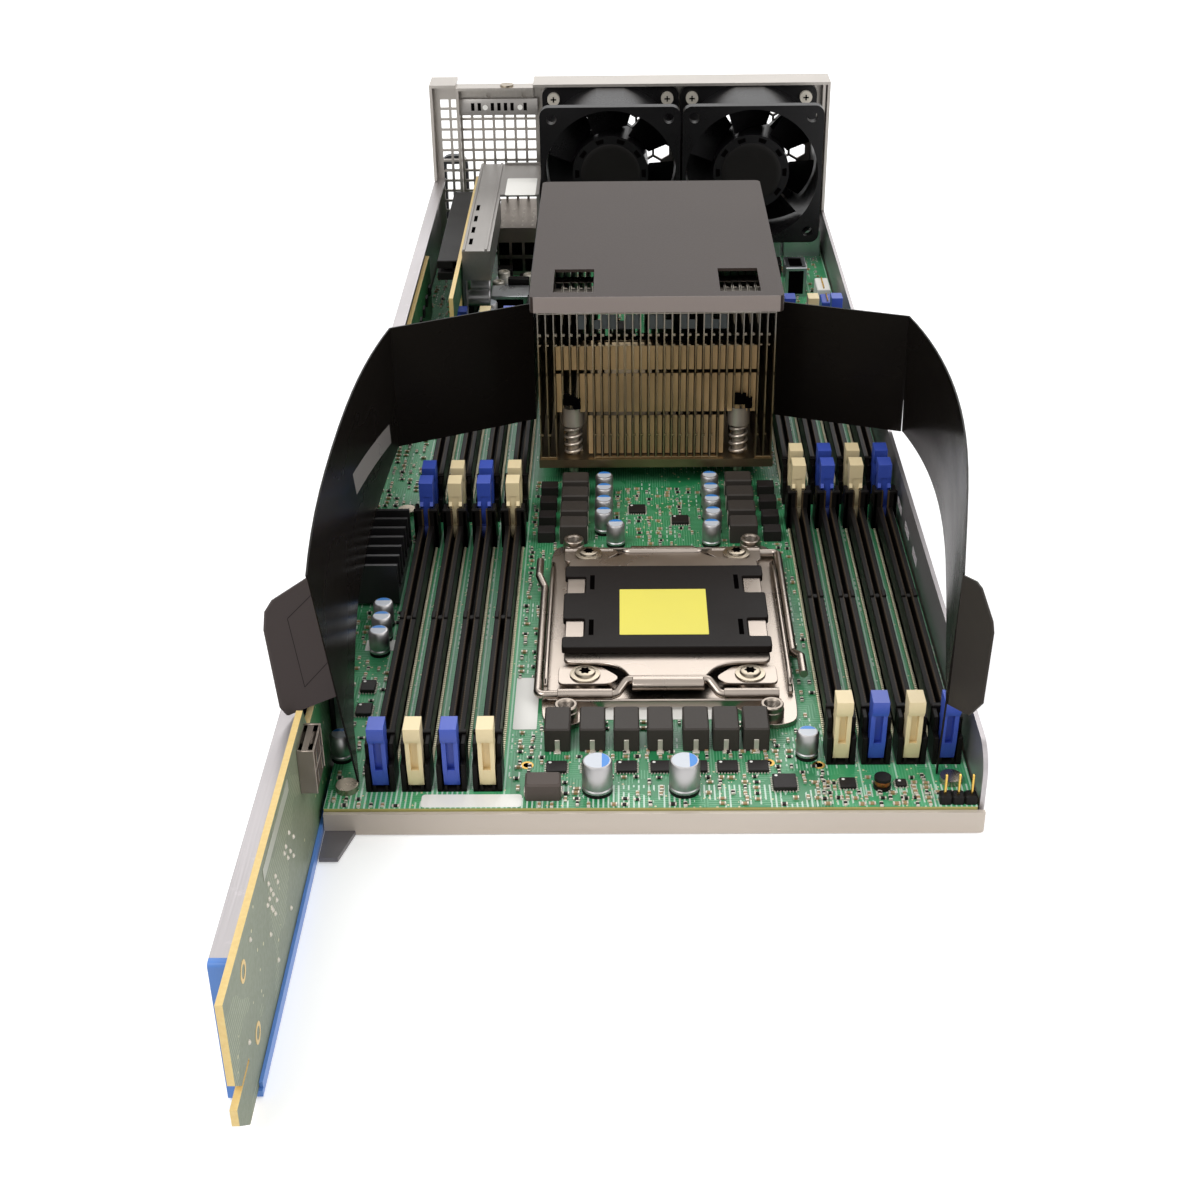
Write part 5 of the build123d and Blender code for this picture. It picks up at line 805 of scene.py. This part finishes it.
def make_labels():
    """Bare paper labels on the board and on the socket cap."""
    white = ((-55.6, -29.8, -214.8, -209.4, BOARD, 1), (-33.8, -27.3, -180.1, -154.4, BOARD, 0.4),
             (-9, 23.4, -175.6, -168.9, BOARD, 0.4), (-69.6, -66.9, -105, -62, BOARD, 0.3),
             (-79, -70.6, -139.4, -133.6, BOARD, 0.3), (-53.4, -40.4, 162.4, 185.8, 46.5, 0.8))
    piece("board_labels", [sticker(*spot) for spot in white], PAPER)
    piece("cap_label", [sticker(-4.7, 20.9, -144, -118.2, CAP_FACE, 0.3, 0.1)], YELLOW_PAPER)


def make_springs():
    """Closed-end coils under the cooler's screws: a helix whose rise slows at both ends."""
    turns, radius, wire = 4.5, 2.75, 0.5
    share = np.linspace(0, 1, 90)
    climb = np.clip((share - 0.12) / 0.76, 0, 1) * (10.4 - 1.1)
    angle = share * turns * TURN
    coils = [tube(np.stack([x + radius * np.cos(angle), y + radius * np.sin(angle), FIN_Z + 0.55 + climb], -1), wire, 8)
             for x in (-20.4, 35.6) for y in (-27.8, 66.2)]
    piece("spring_coils", coils, SPRING, hides="heatsink_springs", slot="screw_steel")


# The cooler's fins: their span, the step between two, and the places of every fin and every gap
FIN_SPAN = 79.0 - 1.0 - 0.4
FIN_STEP = FIN_SPAN / 30
FIN_EDGES = COOLER[0] - FIN_SPAN / 2 + FIN_STEP * np.arange(31)
FIN_MIDDLES = COOLER[0] - FIN_SPAN / 2 + FIN_STEP * (np.arange(30) + 0.5)


def make_fin_tabs():
    """Folded tabs that bridge neighbouring fins in level rows, seen as dots of light between them."""
    gap, away = FIN_STEP - 0.35, np.abs(FIN_MIDDLES - COOLER[0])
    table = []
    for z, deep, high, wide in ((17.5, 1.6, 0.4, gap), (25.6, 0.8, 0.6, 0.7), (58, 0.8, 0.5, 0.8),
                                (61.5, 0.8, 0.7, 0.9), (69.2, 6, 0.4, gap)):
        for x in FIN_MIDDLES[(np.abs(away - 28) > 6.4) | (z > 36)] - (gap - wide) / 2:
            table += [(x, y, z, wide, deep, high)
                      for y in (COOLER_FRONT + 1.0 + deep / 2, COOLER_FRONT + 105.8 - deep / 2)]
    boxes("fin_tabs", table, 0.06, FIN_METAL, slot="fin_metal")


def make_fin_tones():
    """Thin plates on and between the fins: crests in a near-white colour of painted light, warm sides, a bluish sheen
    of painted light near the top, and near-black plates of painted shade in the gaps and notches of the stack.
    """
    crests = []
    # painted light: the crests are coloured near-white so that they read bright inside the hood's shade
    for low, high in ((HOOD[0] + 7.8, HOOD[0] + 20.6), (HOOD[1] - 20.3, HOOD[1] - 7.5)):
        for x in FIN_EDGES[(FIN_EDGES > low) & (FIN_EDGES < high)]:
            crests += [(x, COOLER_FRONT + 15.4, 64, 0.75, 20.6, 5.7),
                       (x + 0.8, COOLER_FRONT + 24.4, 67.6, 1.3, 1.6, 1.6),
                       (x + 0.8, COOLER_FRONT + 8.5, 67.6, 1.1, 1.2, 0.7)]
    boxes("fin_crests", crests, 0.1, CREST_LIGHT, slot="fin_metal")
    spots = [(k, x, abs(x - COOLER[0])) for k, x in enumerate(FIN_MIDDLES)]
    sides = [(x, COOLER_FRONT + 3.4, low, FIN_STEP - 0.9, 0.3, high) for k, x, away in spots if away < 34
             for low, high in ((33.6, 13.8), (48.8, 8.4)) if high < 10 or abs(away - 28.6) > 2.6 or x > 0]
    sides += [(x, COOLER_FRONT + 3.4, 18.2, FIN_STEP - 1.1, 0.3, 14) for k, x, away in spots
              if away < 34 and abs(away - 28) > 6]
    boxes("fin_sides", sides, 0.05, FIN_SIDE, slot="fin_metal")
    # painted light: bluish-grey plates near the top of the stack stand in for light seen through the fins from behind
    light = [(x, COOLER_FRONT + 4, 62.9, FIN_STEP - 0.5, 0.3, 5.0 - 1.8 * (k % 3 == 1)) for k, x, away in spots
             if k % 7 not in (3, 6) and away < 25]
    boxes("fin_top_sheen", light, 0.05, FIN_SHEEN, slot="fin_metal")
    # painted shade: near-black plates in the gaps between the fins, in a row below the top tabs
    gap_shade = [(x, COOLER_FRONT + 3, 59.4, FIN_STEP - 0.5, 0.4, 1.5 + 0.9 * (k % 2)) for k, x, away in spots
            if away < 29]
    boxes("fin_gap_shade", gap_shade, 0.05, RECESS_SHADE, slot="fin_metal")
    # painted shade: near-black plates at the front of the stack where the notches above the screws lie in shadow
    dark = [(COOLER[0] + side * 28.6 + across, COOLER_FRONT + 1.4, z, wide, 1, high) for side in (-1, 1)
            for across, z, wide, high in ((0.4, 37, 6, 2.6), (-0.6, 39.4, 3.8, 1.6), (2.2, 35.6, 2.4, 1.8))]
    boxes("fin_notch_shade", dark, 0.3, RECESS_SHADE)
    crown = [(x, y, 69.3, FIN_STEP - 0.35, 5, 0.35) for x in FIN_MIDDLES
             for y in np.arange(COOLER_FRONT + 10, COOLER_FRONT + 100, 11)]
    boxes("fin_crown", crown, 0.06, FIN_METAL, slot="fin_metal")


def make_sockets():
    """Memory sockets: two walls beside the slot, a raised key and a stepped tower at each end."""
    for row, places in (("front", SOCKET_ROWS[:8]), ("rear", SOCKET_ROWS[8:])):
        table = []
        for x, y in places:
            table += [(x, y, BOARD, 4.8, SOCKET_WALL, 2.6), (x, y + SOCKET_KEY, BOARD, 1.5, 2, 7.4)]
            for side in (-1, 1):
                table += [(x + side * 1.55, y, BOARD, 1.7, SOCKET_WALL, 8),
                          (x + side * 1.8, y + SOCKET_KEY, 14.9, 1.3, 4, 0.9)]
                for end in (-1, 1):
                    tower = y + end * TOWER_REACH
                    table += [(x + side * 3.15, tower, BOARD, 1.3, 9, 8.4),
                              (x + side * 3.1, tower - end * 1.4, BOARD + 8.2, 1.2, 6.2, 4.8),
                              (x + side * 2.25, y + end * 61.7, BOARD, 3.1, 1.6, 13.6),
                              (x + side * 1.55, y + end * 69.7, BOARD + 0.3, 0.7, 0.5, 1.6)]
            table += [(x, y + end * TOWER_REACH, BOARD, 7.6, 9, 0.4) for end in (-1, 1)]
        boxes(f"memory_sockets_{row}_shape", table, 0.2, SOCKET_BLACK, hides=f"memory_sockets_{row}",
              slot="socket_plastic")


def at_cpu(points):
    """Points given from the front processor's centre, in board places."""
    return np.array(points, float) + CPU


def make_retention():
    """Socket frame with stud lobes: an eased outline, bent rails, corner tabs with round bosses, and sleeves."""
    line = ((-34.9, -43), (-34.2, -49), (-29, -51.6), (-24.6, -50.4), (-17.6, -40.2), (16.3, -40.4), (25.6, -50.4),
            (29, -51.6), (34.8, -49.6), (35.3, -43), (35.3, 42), (34, 48.5), (28, 51.6), (23.6, 49),
            (20, 44), (-20, 44), (-23.6, 49), (-28, 51.6), (-34, 48.5), (-34.9, 42))
    shapes = [cutout(soften(at_cpu(line), 3), BOARD, 8.8)]
    for (side, end), (x, y) in zip(CORNERS, BOSSES):
        inner, outer = CPU[0] + side * 13.2, CPU[0] + side * 30.6
        if end < 0:
            rail_x = CPU[0] + side * 34.05
            rail = np.linspace((rail_x, CPU[1] - 36.5, 11.4), (rail_x, CPU[1] + 36.5, 11.4), 12)
            rail[[0, -1], 2] = 9.4
            shapes += [tube(rail, 0.75, 10), blocks([(rail_x, CPU[1], 8.7, 1, 70, 2.8)], 0.2)]
        tab = ((inner + side * 3, y + end * 4.6), (outer, y + end * 4.6), (outer, y - end * 4.4),
               (x - side * 4.4, y - end * 4.4), (inner, y + end * 1.5))
        axis_y = CPU[1] + (-38.4 if end < 0 else 42.1)
        sleeve = np.linspace((inner + side * 2.2, axis_y, 10.3), (outer, axis_y, 10.3), 4)
        shapes += [cutout(soften(tab, 2), 10.9, 11.7), turned([(x, y, 0)], puck(4.2, 8.7, 11.8), 28),
                   tube(sleeve, 1.75, 14)]
    shapes.append(blocks([(CPU[0], CPU[1] - 41.9, 8.7, 62, 0.9, 2.2), (CPU[0], CPU[1] + 45, 8.7, 50, 0.9, 2)], 0.2))
    piece("retention_frame", shapes, BRIGHT, bevel=0.25, hides="front_retention_frame", slot="bright_steel")


def make_load_plate():
    """Load plate: an eased outline with a rolled nose, part of a turn of an ellipse, at both ends."""
    rim = ((-29.2, -25.6), (-17, -26.2), (-13, -28.5), (-10.6, -33.2), (-10.2, -36), (10.2, -36), (10.6, -33.2),
           (13.5, -28.5), (17.5, -26.2), (29.2, -25.6), (29.2, 33.6), (17, 34.4), (13, 36.6), (10.6, 40), (-10.6, 40),
           (-13, 36.6), (-17, 34.4), (-29.2, 33.6))
    shapes = [cutout(soften(at_cpu(rim), 2.2), 11.8, 13)]
    for y0, turn in ((CPU[1] - 35.4, -1), (CPU[1] + 39.4, 1)):
        angle = np.linspace(-0.45, 1.1, 9) * math.pi
        roll = np.stack([y0 + turn * 2.6 * np.cos(angle), 12.1 + 1.9 * np.sin(angle)], -1)
        shapes.append(drawn(roll, CPU[0] - 10, CPU[0] + 10))
    piece("load_plate_shape", shapes, BRIGHT, bevel=0.35, hides="load_plate", slot="bright_steel")


def make_cpu_screws():
    """Frame screws with six-lobed sockets, and studs whose profile steps in and out as a thread does."""
    lobes = np.linspace(0, TURN, 36, endpoint=False)
    star = np.stack([np.cos(lobes), np.sin(lobes)], -1) * (1.45 * (1 + 0.16 * np.cos(6 * lobes)))[:, None]
    head = ((0, 11.75), (4.2, 11.75), (4.3, 12), (4.2, 12.2), (3, 12.35), (2.75, 12.95), (2.4, 13.1), (0, 13.1))
    thread = [(2.05 if k % 2 else 1.75, 9.5 + 0.22 * k) for k in range(15)]
    stud = [(0, 9.4), (1.9, 9.4), *thread, (2.3, 13), (2.9, 13), (3.15, 12.75), (3.15, 11.4), (3.35, 11.2),
            (3.35, 8.7), (0, 8.7)]
    rounds("frame_screw_heads", [(*boss, 0) for boss in BOSSES], head, SCREW, 28, hides="frame_screws",
           slot="screw_steel")
    piece("frame_screw_sockets", [drawn(star + boss, 13.1, 13.13, 2) for boss in BOSSES], RECESS_SHADE)
    rounds("stud_sleeves", [(*spot, 0) for spot in STUDS], stud, NICKEL, 24, hides="heatsink_studs",
           slot="screw_steel")


def make_cap():
    """Socket cap: notched plate with eased edges, dark grip slots beside the notches and bright plates in them."""
    half = np.array(((29.9, -23.5), (29.9, -17.6), (23.6, -17.6), (23.6, -7.6), (29.9, -7.6), (29.9, 7.2),
                     (23.6, 7.2), (23.6, 17), (29.9, 17), (29.9, 23.5)))
    line = at_cpu(np.concatenate([half, half[::-1] * (-1, 1)])) + (0, 2)
    piece("cap_shape", [cutout(soften(line, 1), CAP_Z, CAP_FACE)], CAP_BLACK, bevel=0.4, hides="socket_cap",
          slot="cap_plastic")
    x, y = CPU
    slots = [(x + i * 21.6, y + 2.4 + j * 13, CAP_FACE - 0.03, 1.4, 8.6, 0.05) for i, j in CORNERS]
    boxes("cap_slots", slots, 0.02, RECESS_SHADE)
    floors = [(x + side * 26.4, y + 2.0 + middle, CAP_Z, 5.4, 9.8, 1.5) for side in (-1, 1) for middle in (-12.6, 12.1)]
    boxes("cap_notch_plates", floors, 0.2, BRIGHT, slot="bright_steel")


def facing_side(part):
    """Turn a part made about the upright so that its axis runs along x."""
    return part[0][:, [2, 0, 1]], part[1]


CARD_FACE = -81.6
CARD_DOMES = (
    (-250.3, 27), (-246.3, 22.7), (-255.1, 26.7), (-251.2, 22.3), (-248.6, 18.9), (-254.3, 22.8), (-257.2, 26.4),
    (-268.3, 28.8), (-266.9, 26), (-275.2, 32.3), (-273.9, 29.5), (-272.4, 27), (-276.1, 28.8), (-269.9, 23.3),
    (-278.4, 28.9), (-274.3, 24.1), (-272.7, 21.7), (-275.2, 25.5), (-296.1, 34.6), (-308, 17.2), (-279.1, 21.2),
    (-275.4, 10.5), (-257.4, 10.4),
)
CARD_PADS = ((-304.6, 33.5), (-300.2, 12.3))
RISER_X = -68.0


def make_adapter():
    """Solder domes, two ring pads and a film strip on the adapter card, its shielded plug and board connector."""
    dome = ((0, -0.05), (0.62, -0.05), (0.5, 0.25), (0.25, 0.42), (0, 0.45))
    loop = ((1.5, 0), (1.5, 0.06), (2.5, 0.06), (2.5, 0), (1.5, 0))
    for name, spots, profile, columns, finish in (("card_solder", CARD_DOMES, dome, 12, TIN),
                                                  ("card_rings", CARD_PADS, loop, 28, GOLD)):
        shape = facing_side(turned([(y, z, CARD_FACE) for y, z in spots], profile, columns))
        piece(name, [shape], finish, weld=profile is loop)
    boxes("card_film", [(CARD_FACE + 0.06, -262, 35.6, 0.12, 33, 3.2)], 0.02, DULL_PAPER)
    slots = on_board(((-83.98, -181.5, 1.4, 12, 16), (-80.83, -181.5, 1.4, 12, 16), (-82.4, -178.8, 4.6, 6.4, 14)))
    for side in (-1, 1):
        slots += [(RISER_X + side * 2.35, 153.8, BOARD, 2.7, 88.8, 11),
                  (-73.2, 146.4, 35.3 + side * 2.4 - 1.6, 8.4, 88.8, 3.2)]
    slots += [(RISER_X, 153.8, BOARD, 7.4, 88.8, 3.6), (-70.2, 146.4, 31.4, 2.6, 88.8, 7.8)]
    boxes("connector_bodies", slots, 0.3, BLACK, hides="card_connectors", slot="socket_plastic")
    plug_y = -226.7
    housing = [(-80.9, plug_y, 25.2, 1.4, 11, 12.2), (-78.4, plug_y, 25.2, 1.6, 11, 12.2),
               (-79.6, plug_y, 27, 1.4, 10.4, 3), (-79.6, plug_y, 32.6, 1.4, 10.4, 3)]
    boxes("plug_housing", housing, 0.25, BROWN)
    shell = [(-79.5, -232.4, 25.2, 4.2, 0.6, 12.4), (-79.5, -221, 25.2, 4.2, 0.6, 12.4),
             (-79.5, plug_y, 36.9, 4.2, 11, 0.5), (-79.5, plug_y, 31, 4.2, 11, 0.5)]
    shell += [(-77.45, y, z, 0.3, 1.6, 3.2) for z in (27, 32.4) for y in (-229.5, -224)]
    boxes("plug_shell", shell, 0.12, NICKEL)
    teeth = [pin_row(RISER_X + side * 1.05, 153.8, BOARD + 10.2, 60, 1.4, (0.35, 0.6, 0.6), 1) for side in (-1, 1)]
    boxes("slot_contacts", np.concatenate(teeth), 0.06, GOLD)


def facing_front(part):
    """Turn a part made about the upright so that its top looks along -y."""
    return part[0][:, [0, 2, 1]] * (1, -1, 1), part[1]


def make_fans():
    """Raised discs and rim slots on the hubs, webs in the lower corners of the frames, and crossed screw heads."""
    hub_y, cross_y = FAN_FRONT + 4.6, FAN_REAR - 4.4 - 2.25
    disc = ((0, 0), (12.6, 0), (12.9, 0.25), (12.4, 0.45), (10.6, 0.3), (0, 0.3))
    bar = np.array([(13.5, -1.5), (15.3, -1.8), (15.3, 1.8), (13.5, 1.5)])
    corner = np.array([(29.6, -20.5), (29.6, -21.8), (21.8, -29.6), (20.5, -29.6)])
    for name, x in FANS.items():
        rotor = f"{name}_fan_rotor"
        slots = []
        for angle in np.arange(10) / 10 * TURN:
            c, s = math.cos(angle), math.sin(angle)
            spun = np.stack([bar[:, 0] * c - bar[:, 1] * s + x, bar[:, 0] * s + bar[:, 1] * c + FAN_Z], -1)
            slots.append(drawn(spun, hub_y - 0.04, hub_y + 0.1, 1))
        webs = [drawn(corner * (i, 1) + (x, FAN_Z), FAN_FRONT + 4, FAN_REAR - 4, 1) for i in (-1, 1)]
        piece(f"{name}_hub_disc", [facing_front(turned([(x, FAN_Z, -hub_y)], disc, 40))], BLACK, rotor)
        piece(f"{name}_hub_slots", slots, RECESS_SHADE, rotor)
        piece(f"{name}_fan_webs", webs, FAN_BLACK)
        cross = [(x + i * 25, cross_y, FAN_Z + k * 25 - drop, wide, 0.1, high) for i, k in CORNERS
                 for drop, wide, high in ((0.3, 2.4, 0.6), (1.2, 0.6, 2.4))]
        boxes(f"{name}_screw_crosses", cross, 0.02, RECESS_SHADE)


def make_rear_parts():
    """Cans, connectors and shielded parts on the rear of the board, the bracket's ribs and the board's round pads."""
    cans = on_board(((-58.5, 101.5), (-58.5, 111.5), (-48.5, 104), (-30.5, 98), (-30.5, 107), (34, 101), (44, 101)))
    profile = ((0, 0), (4.1, 0), (4.1, 1.2), (3.9, 1.6), (3.9, 10.2), (3.5, 10.8), (0, 10.8))
    rounds("rear_cans", cans, profile, CAN, 24)
    rounds("rear_can_tops", cans, puck(3.4, 10.75, 10.84), CAP_TOP, 24)
    silver = on_board(((70, 150, 9, 14, 13), (-50.5, 132, 16, 13, 8), (-51, 150, 14, 10, 6), (12, 118, 13, 16, 4.5),
                       (-18, 130, 12, 10, 3.5)))
    mouths = [(x, y - d / 2 - 0.02, z + 1.4, w * 0.7, 0.1, h - 2.8) for x, y, z, w, d, h in silver[:3]]
    mouths += [(x, y, z + h - 0.02, w * 0.6, d * 0.7, 0.06) for x, y, z, w, d, h in silver[:1]]
    boxes("shielded_parts", silver, 0.3, PORT)
    boxes("shielded_mouths", mouths, 0.01, RECESS_SHADE)
    black = ((-20, 101, 8, 24, 6.5), (58, 112, 20, 5, 8.5), (58, 122, 20, 5, 8.5), (-3, 101, 9, 9, 5),
             (22, 101, 9, 9, 5), (-40, 118, 6, 14, 9), (30, 140, 26, 5.2, 9), (-5, 150, 12, 12, 3.2),
             (60, 172, 12, 10, 6))
    blue = on_board(((46, 118, 5, 12, 7.5), (80.5, 118, 5, 10, 9), (-28.5, 150, 5, 11, 7)))
    white = on_board(((80.5, 136, 5.5, 14, 8.5), (-28.5, 165, 6, 12, 7), (10, 165, 14, 5.5, 6.5)))
    boxes("rear_connectors", on_board(black), 0.35, BLACK)
    boxes("blue_connectors", blue, 0.3, BLUE)
    boxes("white_connectors", white, 0.3, PAPER)
    pins = [pin_row(x, y, BOARD + h - 0.4, int(d / 1.3), 1.25, (0.5, 0.5, 1.2), 1)
            for x, y, z, w, d, h in blue + white[:2]]
    boxes("rear_pins", np.concatenate(pins), 0.06, GOLD)
    rows = [(-83.8, y, 12, 0.9, 3.4, 1.2) for y in np.arange(38, 122, 5.5)]
    rows += [(-82.9, y, 20, 1.4, 4.4, 3.6) for y in np.arange(44, 120, 12)]
    boxes("side_card_parts", rows, 0.1, CHIP)
    teeth = [(-65.8, y, 45.55, 1, 2.2, 0.9) for y in np.arange(98, 160, 9)]
    ribs = [(-57, 150, 46.45, 1.1, 114, 0.75), (-65.7, 150, 46.45, 0.9, 114, 0.6),
            (-47.6, 206.4, 46.45, 16, 1, 0.9)]
    boxes("bracket_tabs", teeth + ribs, 0.1, BRACKET)
    boxes("bracket_slots", [(-63.6, y, 46.48, 1.4, 7, 0.06) for y in (104, 118, 132, 146)], 0.01, RECESS_SHADE)
    pads = on_board(((-29.1, -196.6), (34.4, -195.9), (-64.8, -173), (47.6, -197)))
    rounds("board_pads", pads, puck(1.7, 0, 0.06), BRASS, 24)
    rounds("board_pad_holes", pads, puck(1, 0.05, 0.09), RECESS_SHADE)


def make_strap_details():
    """The clamp's apron with vent slots and white discs of painted light in its two holes, and the cage and posts under
    the bracket.
    """
    front, holes = REAR - 4.1, (-63.9, -48.5)
    boxes("strap_apron", [(-58.6, front + 0.35, 67, 36, 0.7, 7.2)], 0.2, BRACKET)
    slots = [(x, front - 0.01, 69, 1.5, 0.06, 3.4) for x in np.arange(-69.4, -44, 2.9)
             if min(abs(x - hole) for hole in holes) > 1.6]
    boxes("strap_slots", slots, 0.01, RECESS_SHADE)
    # painted light: white discs fill the apron's two holes, for the light seen through them
    bright = turned([(x, 70.4, -front + 0.02) for x in holes], puck(1.15, 0, 0.05))
    piece("strap_hole_light", [facing_front(bright)], PAPER)
    boxes("rear_cage", on_board([(-49.6, 192.5, 17.6, 41, 21.5)]), 0.3, NICKEL)
    dots = [(x, y, BOARD + 21.48) for x in (-56, -51.6, -47.2, -42.8) for y in (176, 181.5, 187, 192.5, 198)]
    rounds("rear_cage_dots", dots, puck(0.55, 0, 0.05), TIN, 10)
    marks = [(x, 171.95, BOARD + z, 4.4, 0.1, 5.6) for x in (-55.2, -49.6, -44) for z in (2, 9.4)]
    boxes("rear_cage_marks", marks, 0.01, RECESS_SHADE)
    lumps = ((-54.5, 163, 6.4, 5.6, 7), (-45.5, 160, 5.6, 8, 4), (-47.5, 142, 9, 3.4, 10))
    boxes("rear_blocks", on_board(lumps), 0.3, BLACK)
    post = ((0, 0), (2.6, 0), (2.6, 8.2), (2.2, 8.6), (1.2, 8.6), (1.2, 8), (0, 8))
    rounds("rear_posts", on_board(((-54.5, 154), (-43.5, 150.5), (-56, 142))), post, TIN)
    lying = []
    for y, high in ((122, 7.6), (109, 8.4)):
        can = ((0, 0), (3.3, 0), (3.3, high), (3, high + 0.4), (0, high + 0.4))
        lying.append(facing_side(turned([(y, 21, -66)], can, 24)))
    piece("riser_cans", lying, CAN)


# Camera, light and floor

CAMERA_SPOT = (-0.002979, -0.365046 + FRONT * MM, 0.284112)
CAMERA_ANGLES = (0.531526, -0.016466, -0.013563)
FOCAL_SHARE = 1792.675 / 1200
SENSOR = 36.0
LAMPS = (("key", (-0.9, -0.9, 1.5), 1.1, 16.0), ("fill", (1.2, -0.6, 1.1), 1.2, 8.0),
         ("back", (0.2, 1.3, 1.3), 1.2, 10.0))
LAMP_AIM = (0, -0.02, 0.03)
UNSEEN_SKY = 0.55
FLOOR_GLOW = 0.35
FLOOR_RADII = (0.0, 400.0, 1500.0, 6000.0)
FLOOR_Z = -0.4


def set_camera():
    """Camera at the photograph's place, turned by its pitch, yaw and roll."""
    pitch, yaw, roll = CAMERA_ANGLES
    ahead = np.array([math.sin(yaw) * math.cos(pitch), math.cos(yaw) * math.cos(pitch), -math.sin(pitch)])
    right = np.array([math.cos(yaw), -math.sin(yaw), 0.0])
    up = np.cross(right, ahead)
    side = right * math.cos(roll) + up * math.sin(roll)
    top = -right * math.sin(roll) + up * math.cos(roll)
    eye = bpy.data.cameras.new("camera")
    eye.sensor_width, eye.lens, eye.clip_start = SENSOR, FOCAL_SHARE * SENSOR, 0.01
    turn = Matrix((side, top, -ahead)).transposed().to_4x4()
    turn.translation = CAMERA_SPOT
    camera = place_object("camera", eye)
    camera.matrix_world = turn
    bpy.context.scene.camera = camera


def set_lights():
    """Three square lamps, and a white surround that lights less than it shows."""
    for name, spot, size, power in LAMPS:
        data = bpy.data.lights.new(name, "AREA")
        data.shape, data.size, data.energy = "SQUARE", size, power
        lamp = place_object(name, data)
        lamp.location = spot
        aim = Matrix.Translation(LAMP_AIM).translation - lamp.location
        lamp.rotation_euler = aim.to_track_quat("-Z", "Y").to_euler()
    world = bpy.data.worlds.new("surround")
    bpy.context.scene.world = world
    world.use_nodes = True
    sky = Graph(world.node_tree)
    base = sky.tree.nodes["Background"]
    sky.feed(base.inputs["Color"], (1, 1, 1))
    sky.feed(base.inputs["Strength"], sky.seen().most(UNSEEN_SKY))


def set_floor():
    """Pale round floor of nested rings that glows to white where it is seen."""
    pale = Finish("pale_floor", (0.9, 0.9, 0.9), 0.8)
    pale.set(Base_Color=pale.mix(pale.grain(2.0, 2.0), (0.88, 0.88, 0.88), (0.92, 0.92, 0.92)))
    plain = Value(pale, pale.shader.outputs[0])
    glowing = pale.node("AddShader", (), plain, pale.node("Emission", Strength=FLOOR_GLOW))
    output = pale.tree.nodes["Material Output"]
    pale.feed(output.inputs["Surface"], pale.node("MixShader", (), pale.seen(), plain, glowing))
    points = np.full((1, len(FLOOR_RADII), 48, 3), FLOOR_Z)
    points[0, :, :, :2] = np.array(FLOOR_RADII)[:, None, None] * ring(48)
    corners, quads = grid(points)
    mesh = bpy.data.meshes.new("floor")
    mesh.from_pydata((corners * MM).tolist(), [], quads.tolist())
    place_object("floor", mesh, pale)


for step in (
    dress_nodes, make_latches, make_capacitors, make_inductors_and_chips, make_small_parts, make_socket_tails,
    make_labels, make_springs, make_fin_tabs, make_fin_tones, make_sockets, make_retention, make_load_plate,
    make_cpu_screws, make_cap, make_adapter, make_fans, make_rear_parts, make_strap_details, set_camera, set_lights,
    set_floor
):
    step()
bpy.context.scene.view_settings.view_transform = "Standard"
